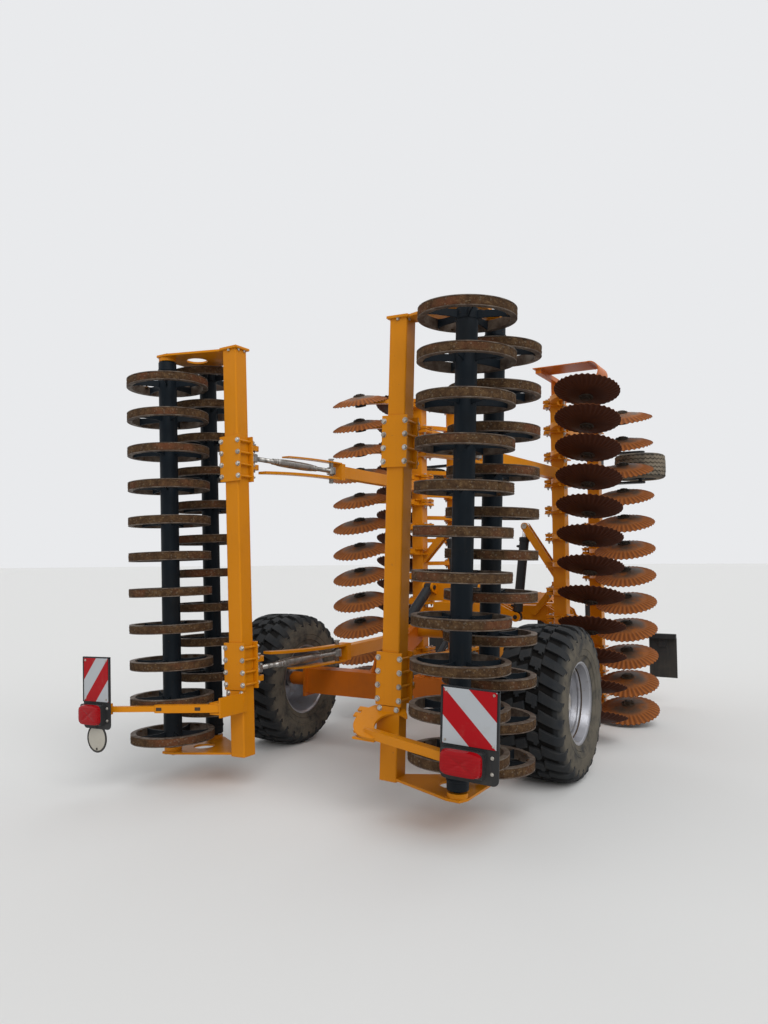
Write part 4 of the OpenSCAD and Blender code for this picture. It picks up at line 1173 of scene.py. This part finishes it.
@dataclass
class RollerFrame(Assembly):
    """Bolts, nuts and caps on a roller's beam, its clamp plates and end plates, and the turnbuckles."""

    clamp_bolt_x: float = 0.0745
    clamp_bolt_z: tuple = (-0.1245, -0.0415, 0.0415, 0.1245)
    plate_y: float = 0.075
    bearing_bolts: float = 0.047
    buckle_y: tuple = (0.32, 1.33)
    buckle_body: tuple = (0.55, 1.11)
    thread_pitch: float = 0.006

    @property
    def heights(self) -> tuple:
        """Heights of the two turnbuckles."""
        return self.pick((0.825, 2.325), (0.784, 2.284))

    @property
    def clamps(self) -> tuple:
        """Heights of the middles of the clamp plates, along the leaning beam."""
        return self.pick((0.849, 2.296), (0.845, 2.280))

    def by_beam(self, dx: float, dy: float, z: float) -> Array:
        """The matrix to a place beside the leaning beam's axis."""
        x, y = PLAN.roller_beam
        return self.leaning @ shift(x + dx, y + dy, z)

    def clamp_spots(self) -> list:
        """The matrix of each clamp bolt: four down each edge of each pair of plates."""
        return [self.by_beam(dx, 0, z + dz) for z in self.clamps for dx in (-self.clamp_bolt_x, self.clamp_bolt_x)
                for dz in self.clamp_bolt_z]

    def clamp_bolts(self) -> Skin:
        """Heads on the rear clamp plates and the bracket under them, and nuts with thread ends on the front ones."""
        back, front = turned("X", 90), turned("X", -90)
        nut = joined([bolt(0.025), rod(0.009, 0.01, 0.027, taper=0.002)])
        both = joined([bolt(0.025).under(shift(y=-self.plate_y) @ back), nut.under(shift(y=self.plate_y) @ front)])
        bracket = [self.by_beam(dx, -0.0718, self.clamps[0] - 0.18) @ back for dx in (-0.058, 0.058)]
        return joined([copies(both, self.clamp_spots()), copies(bolt(0.024), bracket)])

    def clamp_rods(self) -> Skin:
        """The painted shanks of the clamp bolts between the plates."""
        return copies(rod(0.008, -self.plate_y, self.plate_y).under(turned("X", 90)), self.clamp_spots())

    def end_bolts(self) -> Skin:
        """Four bolts round each bearing on both end plates, and four under the beam's cap."""
        lo, hi = PLAN.beam_span
        ring = self.bearing_bolts * np.array([(math.cos(a), math.sin(a)) for a in np.radians([45, 135, 225, 315])])
        ends = [self.leaning @ shift(PLAN.roller_x + dx, y + dy, z) @ turned("X", flip)
                for z, flip in ((lo + 0.01, 180), (hi + 0.014, 0))
                for y in (0.0, PLAN.front_roller_y) for dx, dy in ring]
        cap = [self.by_beam(dx, dy, hi) @ turned("X", 180)
               for dx, dy in ((-0.062, -0.03), (-0.062, 0.03), (0.0, -0.063), (0.062, -0.03))]
        return joined([copies(bolt(0.019), ends), copies(bolt(0.017, 0.012), cap)])

    def caps(self) -> Skin:
        """A flanged cap over the top of the beam and a closing plate at its foot."""
        x, y = PLAN.roller_beam
        lo, hi = PLAN.beam_span
        top = rounded_box((x - 0.076, x + 0.074), (y - 0.074, y + 0.074), (hi + 0.0004, hi + 0.0195), 0.003)
        foot = rounded_box((x - 0.05, x + 0.05), (y - 0.05, y + 0.05), (lo - 0.004, lo + 0.001), 0.001)
        return joined([top, foot]).under(self.leaning)

    def threaded(self, low: float, high: float) -> Skin:
        """A rod along Z with a thread: its radius goes between 15.5 and 18 mm at each turn."""
        turns = int((high - low) / self.thread_pitch)
        z = np.repeat(np.linspace(low, high, turns + 1), 2)
        z[1::2] += self.thread_pitch / 2
        flanks = np.stack([np.tile([0.0180, 0.0155], turns + 1), z], -1)
        return turning(np.concatenate([[[0, low]], flanks, [[0, high + self.thread_pitch / 2]]]), 16)

    def buckle(self, z: float) -> Skin:
        """One turnbuckle: eyes with pins and clips, threaded rods, and a body with round ends."""
        (near, far), (low, high) = self.buckle_y, self.buckle_body
        eye = lathe(mirrored([(0.0182, -0.03), (0.034, -0.03), (0.038, -0.026)]), 28)
        pin = turning([(0, -0.103), (0.016, -0.103), (0.018, -0.1), (0.018, 0.093), (0.026, 0.0935), (0.026, 0.101),
                       (0.024, 0.103), (0, 0.103)], 20)
        clip = rod(0.0035, -0.03, 0.03, 8).under(turned("X", 90) @ shift(y=-0.096))
        ends = copies(joined([eye, pin, clip]), [shift(y=near), shift(y=far)])
        half = [(0, 0), (0.021, 0), (0.0235, 0.003), (0.0235, 0.02), (0.0195, 0.023), (0.0195, 0.03), (0.0245, 0.033),
                (0.0245, 0.045), (0.0215, 0.048), (0.0215, 0.056), (0.027, 0.06), (0.0305, 0.12), (0.0315, 0.2)]
        body = turning([*((r, low + t) for r, t in half), *((r, high - t) for r, t in half[::-1])], 32)
        rods = joined([body, self.threaded(near + 0.03, low + 0.01), self.threaded(high - 0.01, far - 0.03)])
        place = self.placed @ shift(PLAN.leaning_x(PLAN.roller_beam[0], z), 0, z)
        return joined([ends, rods.under(turned("X", -90))]).under(place)

    def build(self) -> None:
        """Builds the pieces of the roller's frame."""
        word = self.word
        piece(f"clamp_bolts_{word}", joined([self.clamp_bolts(), self.end_bolts()]), Finish.ZINC, self.wing)
        piece(f"beam_caps_{word}", joined([self.caps(), self.clamp_rods()]), Finish.PAINT, self.wing)
        piece(f"threaded_turnbuckles_{word}", joined([self.buckle(z) for z in self.heights]), Finish.THREAD, self.wing,
              [f"turnbuckles_{word}"])


@dataclass
class WarningBoard(Assembly):
    """A rear board: backing, striped panel, lamp and screws, and on the left a round plate and dark plates of painted
    shade for its arm's slots.
    """

    lamp_depth: float = 0.0675
    diagonal: float = 5.5
    stripes: float = 1.02
    arm: tuple = ((0.590, -0.120), (1.330, -0.410))
    glass_steps: int = 25

    @property
    def across(self) -> tuple:
        """The board's inner and outer edge, along the leaning X axis."""
        return self.pick((1.213, 1.530), (1.268, 1.520))

    @property
    def base(self) -> float:
        """Height of its lower edge."""
        return self.pick(0.460, 0.473)

    @property
    def y(self) -> float:
        """Place of the panel's back along the machine."""
        return self.pick(-0.340, -0.450)

    @property
    def lamp_x(self) -> tuple:
        """The lamp's two edges along X: both lamps stand to the left on their boards, seen from behind."""
        return self.pick((1.219, 1.456), (1.305, 1.505))

    @property
    def lamp_z(self) -> tuple:
        """The lamp's lower and upper edge."""
        return self.base + 0.032, self.base + 0.166

    def panel(self) -> Skin:
        """The striped panel.

        Its points carry along = diagonal + stripes (u - w), where u and w go from 0 to 1 across the panel and down
        from its top, so the red meets the white on the panel's diagonal.
        """
        x, z = (self.across[0] + 0.002, self.across[1] - 0.014), (self.base + 0.182, self.base + 0.470)
        skin = rounded_box(x, z, (0.0, 0.006), 0.001).under(turned("X", 90)).under(shift(y=self.y - 0.004))
        u = (skin.points[:, 0] - x[0]) / (x[1] - x[0])
        w = (z[1] - skin.points[:, 2]) / (z[1] - z[0])
        return skin.marked(along=self.diagonal + self.stripes * (u - w))

    def backing(self) -> Skin:
        """The black plate behind, with a folded edge round the panel, rounded lower corners and the lamp's housing."""
        x0, x1, z0, y = self.across[0] - 0.011, self.across[1] - 0.001, self.base + 0.001, self.y
        corner, lip, fold, top = 0.03, 0.010, z0 + 0.176, z0 + 0.478
        arc = np.linspace(0, math.pi / 2, 6)
        low = [(x0 + corner - corner * math.cos(t), z0 + corner - corner * math.sin(t)) for t in arc]
        low += [(x1 - corner + corner * math.sin(t), z0 + corner - corner * math.cos(t)) for t in arc]
        sheet = plate(low + [(x1, top), (x0, top)], -0.005, 0.003, 0.001).under(turned("X", 90)).under(shift(y=y))
        lips = [rounded_box(x, (y - 0.009, y), z) for x, z in
                (((x0, x0 + lip), (fold, top)), ((x1 - lip, x1), (fold, top)), ((x0, x1), (top - lip, top)))]
        return joined([sheet, *lips, rounded_box(self.lamp_x, (y - 0.042, y - 0.002), self.lamp_z, 0.006)])

    def glass(self) -> Skin:
        """The lamp's glass.

        A grid over a square with round corners. A point at (u, v), both from -1 to 1, stands out by depth times
        (1 - |u|^6)(1 - |v|^6) to the power 0.2, less a small crease along each diagonal.
        """
        (x0, x1), (z0, z1) = self.lamp_x, self.lamp_z
        line = np.linspace(-1, 1, self.glass_steps)
        u, v = np.meshgrid(line, line, indexing="ij")
        power = 5.0
        au, av = np.abs(u), np.abs(v)
        shrink = np.maximum(au, av) / np.maximum((au ** power + av ** power) ** (1 / power), 1e-9)
        px, pz = ((lo + hi) / 2 + (hi - lo) / 2 * s * shrink for lo, hi, s in ((x0, x1, u), (z0, z1, v)))
        swell = np.clip((1 - au ** 6) * (1 - av ** 6), 0, 1) ** 0.2
        crease = np.exp(-((au - av) / 0.12) ** 2) * np.clip(1 - np.hypot(u, v) / 1.2, 0, 1)
        front = self.y - 0.0405 - (self.lamp_depth - 0.0385) * swell + 0.006 * crease
        top, back = (np.stack([px, y, pz], -1) for y in (front, np.full_like(px, self.y - 0.040)))
        wall = sheet_of(np.stack([border(back), border(top)]), False, True)
        return joined([sheet_of(top), wall, sheet_of(back)])

    def screws(self) -> Skin:
        """Screws at the panel's corners, with their ends on its back, and bolts beside the lamp."""
        x0, x1 = self.across
        spots = [(x, z) for x in (x0 + 0.018, x1 - 0.03) for z in (self.base + 0.2, self.base + 0.455)]
        free = self.pick((x1 + self.lamp_x[1]) / 2, (x0 + self.lamp_x[0]) / 2)
        beside = [(free, z) for z in (self.base + 0.06, self.base + 0.14)]
        rows = ((0.010, spots, -0.0098, 90), (0.014, beside, -0.0028, 90), (0.013, spots, 0.0048, -90))
        return joined([copies(bolt(size), [shift(x, self.y + dy, z) @ turned("X", turn) for x, z in where])
                       for size, where, dy, turn in rows])

    def slot_shadow_plates(self) -> Skin:
        """Two thin dark plates on the rear face of the left board's arm, at shares of its length: painted shade
        standing for the inside of its two slots.
        """
        (x0, y0), (x1, y1) = self.arm
        slot = rounded_box((-0.019, 0.019), (-0.0264, -0.024), (-0.011, 0.011), 0.0008)
        turn = turned("Z", math.degrees(math.atan2(y1 - y0, x1 - x0)))
        return copies(slot, [shift(x0 + (x1 - x0) * f, y0 + (y1 - y0) * f, 0.6) @ turn for f in (0.19, 0.53)])

    def round_plate(self) -> Skin:
        """The blank round plate under the left board: a white face in a thin black ring."""
        ring = lathe([(0.082, -0.001), (0.0945, -0.001), (0.0948, 0.0), (0.0948, 0.004), (0.094, 0.0048),
                      (0.082, 0.0048)], 56)
        bolts = copies(bolt(0.011), [shift(0, dy, 0.0033) for dy in (-0.07, 0.07)])
        whole = joined([rod(0.084, 0, 0.0035, 56).marked(finish=0), joined([ring, bolts]).marked(finish=1)])
        return whole.under(shift(self.across[0] + 0.124, self.y + 0.0022, self.base - 0.061) @ turned("X", 90))

    def build(self) -> None:
        """Builds the board."""
        m, body, word = self.leaning, self.wing, self.word
        piece(f"board_back_{word}", self.backing().under(m), Finish.BLACK, body, [f"light_board_{word}"])
        piece(f"board_stripes_{word}", self.panel().under(m), Finish.STRIPES, body)
        piece(f"lamp_glass_{word}", self.glass().under(m), Finish.LAMP, body)
        piece(f"board_screws_{word}", self.screws().under(m), Finish.ZINC, body)
        if self.side is Side.LEFT:
            # dark plates of painted shade where the arm has slots
            piece("arm_slots_left", self.slot_shadow_plates().under(m), Finish.COVER, body)
            piece("round_plate_left", self.round_plate().under(m), Finish.WHITE, body,
                  finishes=[Finish.BLACK])


@dataclass
class FoldCylinder(Assembly):
    """What shows on a fold cylinder: gland, foot weld, ports and the ends of the pin in the wing's lever."""

    anchor: tuple = (0.3, 0.99)
    tip: tuple = (0.4, 1.85)
    y: float = 3.06
    rod_show: float = 0.106
    lever_half: float = 0.0418

    def build(self, frame: dict) -> None:
        """Builds the gland and the pin's ends, and dresses barrel and rod."""
        word = self.word
        lean = math.degrees(math.atan2(self.tip[0] - self.anchor[0], self.tip[1] - self.anchor[1]))
        place = self.placed @ shift(self.anchor[0], self.y, self.anchor[1]) @ turned("Y", lean)
        end = math.dist(self.anchor, self.tip) - self.rod_show
        gland = lathe([(0.0262, end - 0.04), (0.0485, end - 0.04), (0.05, end - 0.036), (0.05, end - 0.006),
                       (0.046, end - 0.001), (0.036, end + 0.0005), (0.034, end + 0.004), (0.0262, end + 0.004)], 36)
        weld = lathe([(0.0295, 0.049), (0.040, 0.050), (0.0465, 0.0545), (0.0468, 0.060), (0.0445, 0.064)], 36)
        port = turning([(0, 0.04), (0.013, 0.04), (0.013, 0.06), (0.010, 0.062), (0.010, 0.07), (0, 0.07)], 16)
        ports = copies(port, [shift(z=z) @ turned("Y", -90) for z in (0.1, end - 0.09)])
        piece(f"gland_fold_{word}", joined([gland, weld, ports]).under(place), Finish.BLACK, f"fold_barrel_{word}")
        pin = turning([(0, 0), (0.024, 0), (0.026, 0.002), (0.026, 0.009), (0.023, 0.012), (0, 0.012)], 24)
        pins = copies(pin, [self.placed @ shift(self.tip[0], self.y + way * self.lever_half, self.tip[1])
                            @ turned("X", -90 * way) for way in (-1, 1)])
        piece(f"lever_pins_{word}", pins, Finish.ZINC, self.wing)
        dress(frame, Finish.BLACK, f"fold_barrel_{word}")
        dress(frame, Finish.CHROME, f"fold_rod_{word}")


@dataclass
class Studio:
    """Floor, light and the camera that stands where the photograph's stood."""

    eye: tuple = (3.017, -7.2485, 1.56)
    yaw: float = 30.416
    pitch: float = 3.337
    roll: float = -0.346
    focal: float = 783.38
    frame_height: int = 1024
    sensor: float = 36.0
    far: float = 500.0
    lamps: tuple = (("key", -52, 42, 1.75, 50), ("fill", 62, 30, 0.35, 70), ("back", 170, 50, 0.5, 60))
    world_light: float = 0.52
    world_seen: float = 0.32

    def camera(self) -> None:
        """Places the camera: forward, right and up from yaw, pitch and roll."""
        yaw, pitch, roll = (math.radians(v) for v in (self.yaw, self.pitch, self.roll))
        forward = np.array([-math.sin(yaw) * math.cos(pitch), math.cos(yaw) * math.cos(pitch), math.sin(pitch)])
        level = np.array([math.cos(yaw), math.sin(yaw), 0.0])
        upright = np.cross(level, forward)
        right = level * math.cos(roll) + upright * math.sin(roll)
        up = upright * math.cos(roll) - level * math.sin(roll)
        data = bpy.data.cameras.new("photo_camera")
        data.sensor_fit, data.sensor_height = "VERTICAL", self.sensor
        data.lens = self.focal / self.frame_height * self.sensor
        data.clip_end = self.far
        obj = linked("photo_camera", data)
        rows = np.column_stack([right, up, -forward, self.eye]).tolist()
        obj.matrix_world = Matrix([*rows, [0, 0, 0, 1]])
        bpy.context.scene.camera = obj

    def lights(self) -> None:
        """A broad key lamp from behind the camera's left, a weak one from the right, and one from the back."""
        for name, azimuth, height, strength, size in self.lamps:
            data = bpy.data.lights.new(name, "SUN")
            data.energy, data.angle = strength, math.radians(size)
            turn = Matrix.Rotation(math.radians(-azimuth), 4, "Z") @ Matrix.Rotation(math.radians(90 - height), 4, "X")
            linked(name, data).matrix_world = turn

    def world(self) -> None:
        """An even pale world of the strength world_light, and world_seen more for the camera, gloss and glass."""
        world = bpy.data.worlds.new("studio")
        bpy.context.scene.world = world
        world.use_nodes = True
        tree = world.node_tree
        back = tree.nodes["Background"]
        rays = tree.nodes.new("ShaderNodeLightPath").outputs
        camera, gloss, glass = (Expr(tree, rays[f"Is {kind} Ray"]) for kind in ("Camera", "Glossy", "Transmission"))
        strength = (camera + gloss + glass).math("MINIMUM", 1.0) * self.world_seen + self.world_light
        back.inputs["Color"].default_value = (0.97, 0.98, 1.0, 1)
        tree.links.new(strength.socket, back.inputs["Strength"])

    def floor(self) -> None:
        """A round pale floor, just under the wheels."""
        skin = turning([(0, -0.0005), (30, -0.0005), (160, -0.0005), (160, -0.2), (0, -0.2)], 64)
        pale = Palette("pale_floor").done(Base_Color=(0.70, 0.70, 0.69), Roughness=0.8, Specular_IOR_Level=0.1)
        mesh = mesh_of("floor", skin, [pale])
        mesh.shade_flat()
        obj = linked("floor", mesh)

    def build(self) -> None:
        """Builds the studio."""
        self.camera()
        self.lights()
        self.world()
        self.floor()
        bpy.context.scene.view_settings.view_transform = "Standard"


def main() -> None:
    """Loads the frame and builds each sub-assembly."""
    logging.basicConfig(level=logging.INFO, format="%(message)s")
    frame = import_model()
    Studio().build()
    paint = ["chassis_frame", "drawbar"]
    for word in ("right", "left"):
        paint += [f"{n}_{word}" for n in ("wing_frame", "rear_disc_arms", "front_disc_arms", "roller_beam",
                                          "roller_arms", "roller_ends", "light_carrier")]
        dress(frame, Finish.BLACK, f"support_fork_{word}")
    dress(frame, Finish.PAINT, *paint)
    # the axle beam and soil deflector take the darker copy of the paint, painted shade
    dress(frame, Finish.PAINT_SHADE, "axle_beam", "soil_deflector")
    dress(frame, Finish.BLACK, "lift_cylinders", "jack_leg", "front_boards")
    dress(frame, Finish.ZINC, "jack_foot")
    dress(frame, Finish.EYE, "hitch_eye")
    for side in Side:
        for row in Row:
            DiscRow(side, row).build()
            RingRoller(side, row).build()
        TransportWheel(side).build(frame)
        SupportWheel(side).build()
        RollerFrame(side).build()
        WarningBoard(side).build()
        FoldCylinder(side).build(frame)


if __name__ == "__main__":
    main()
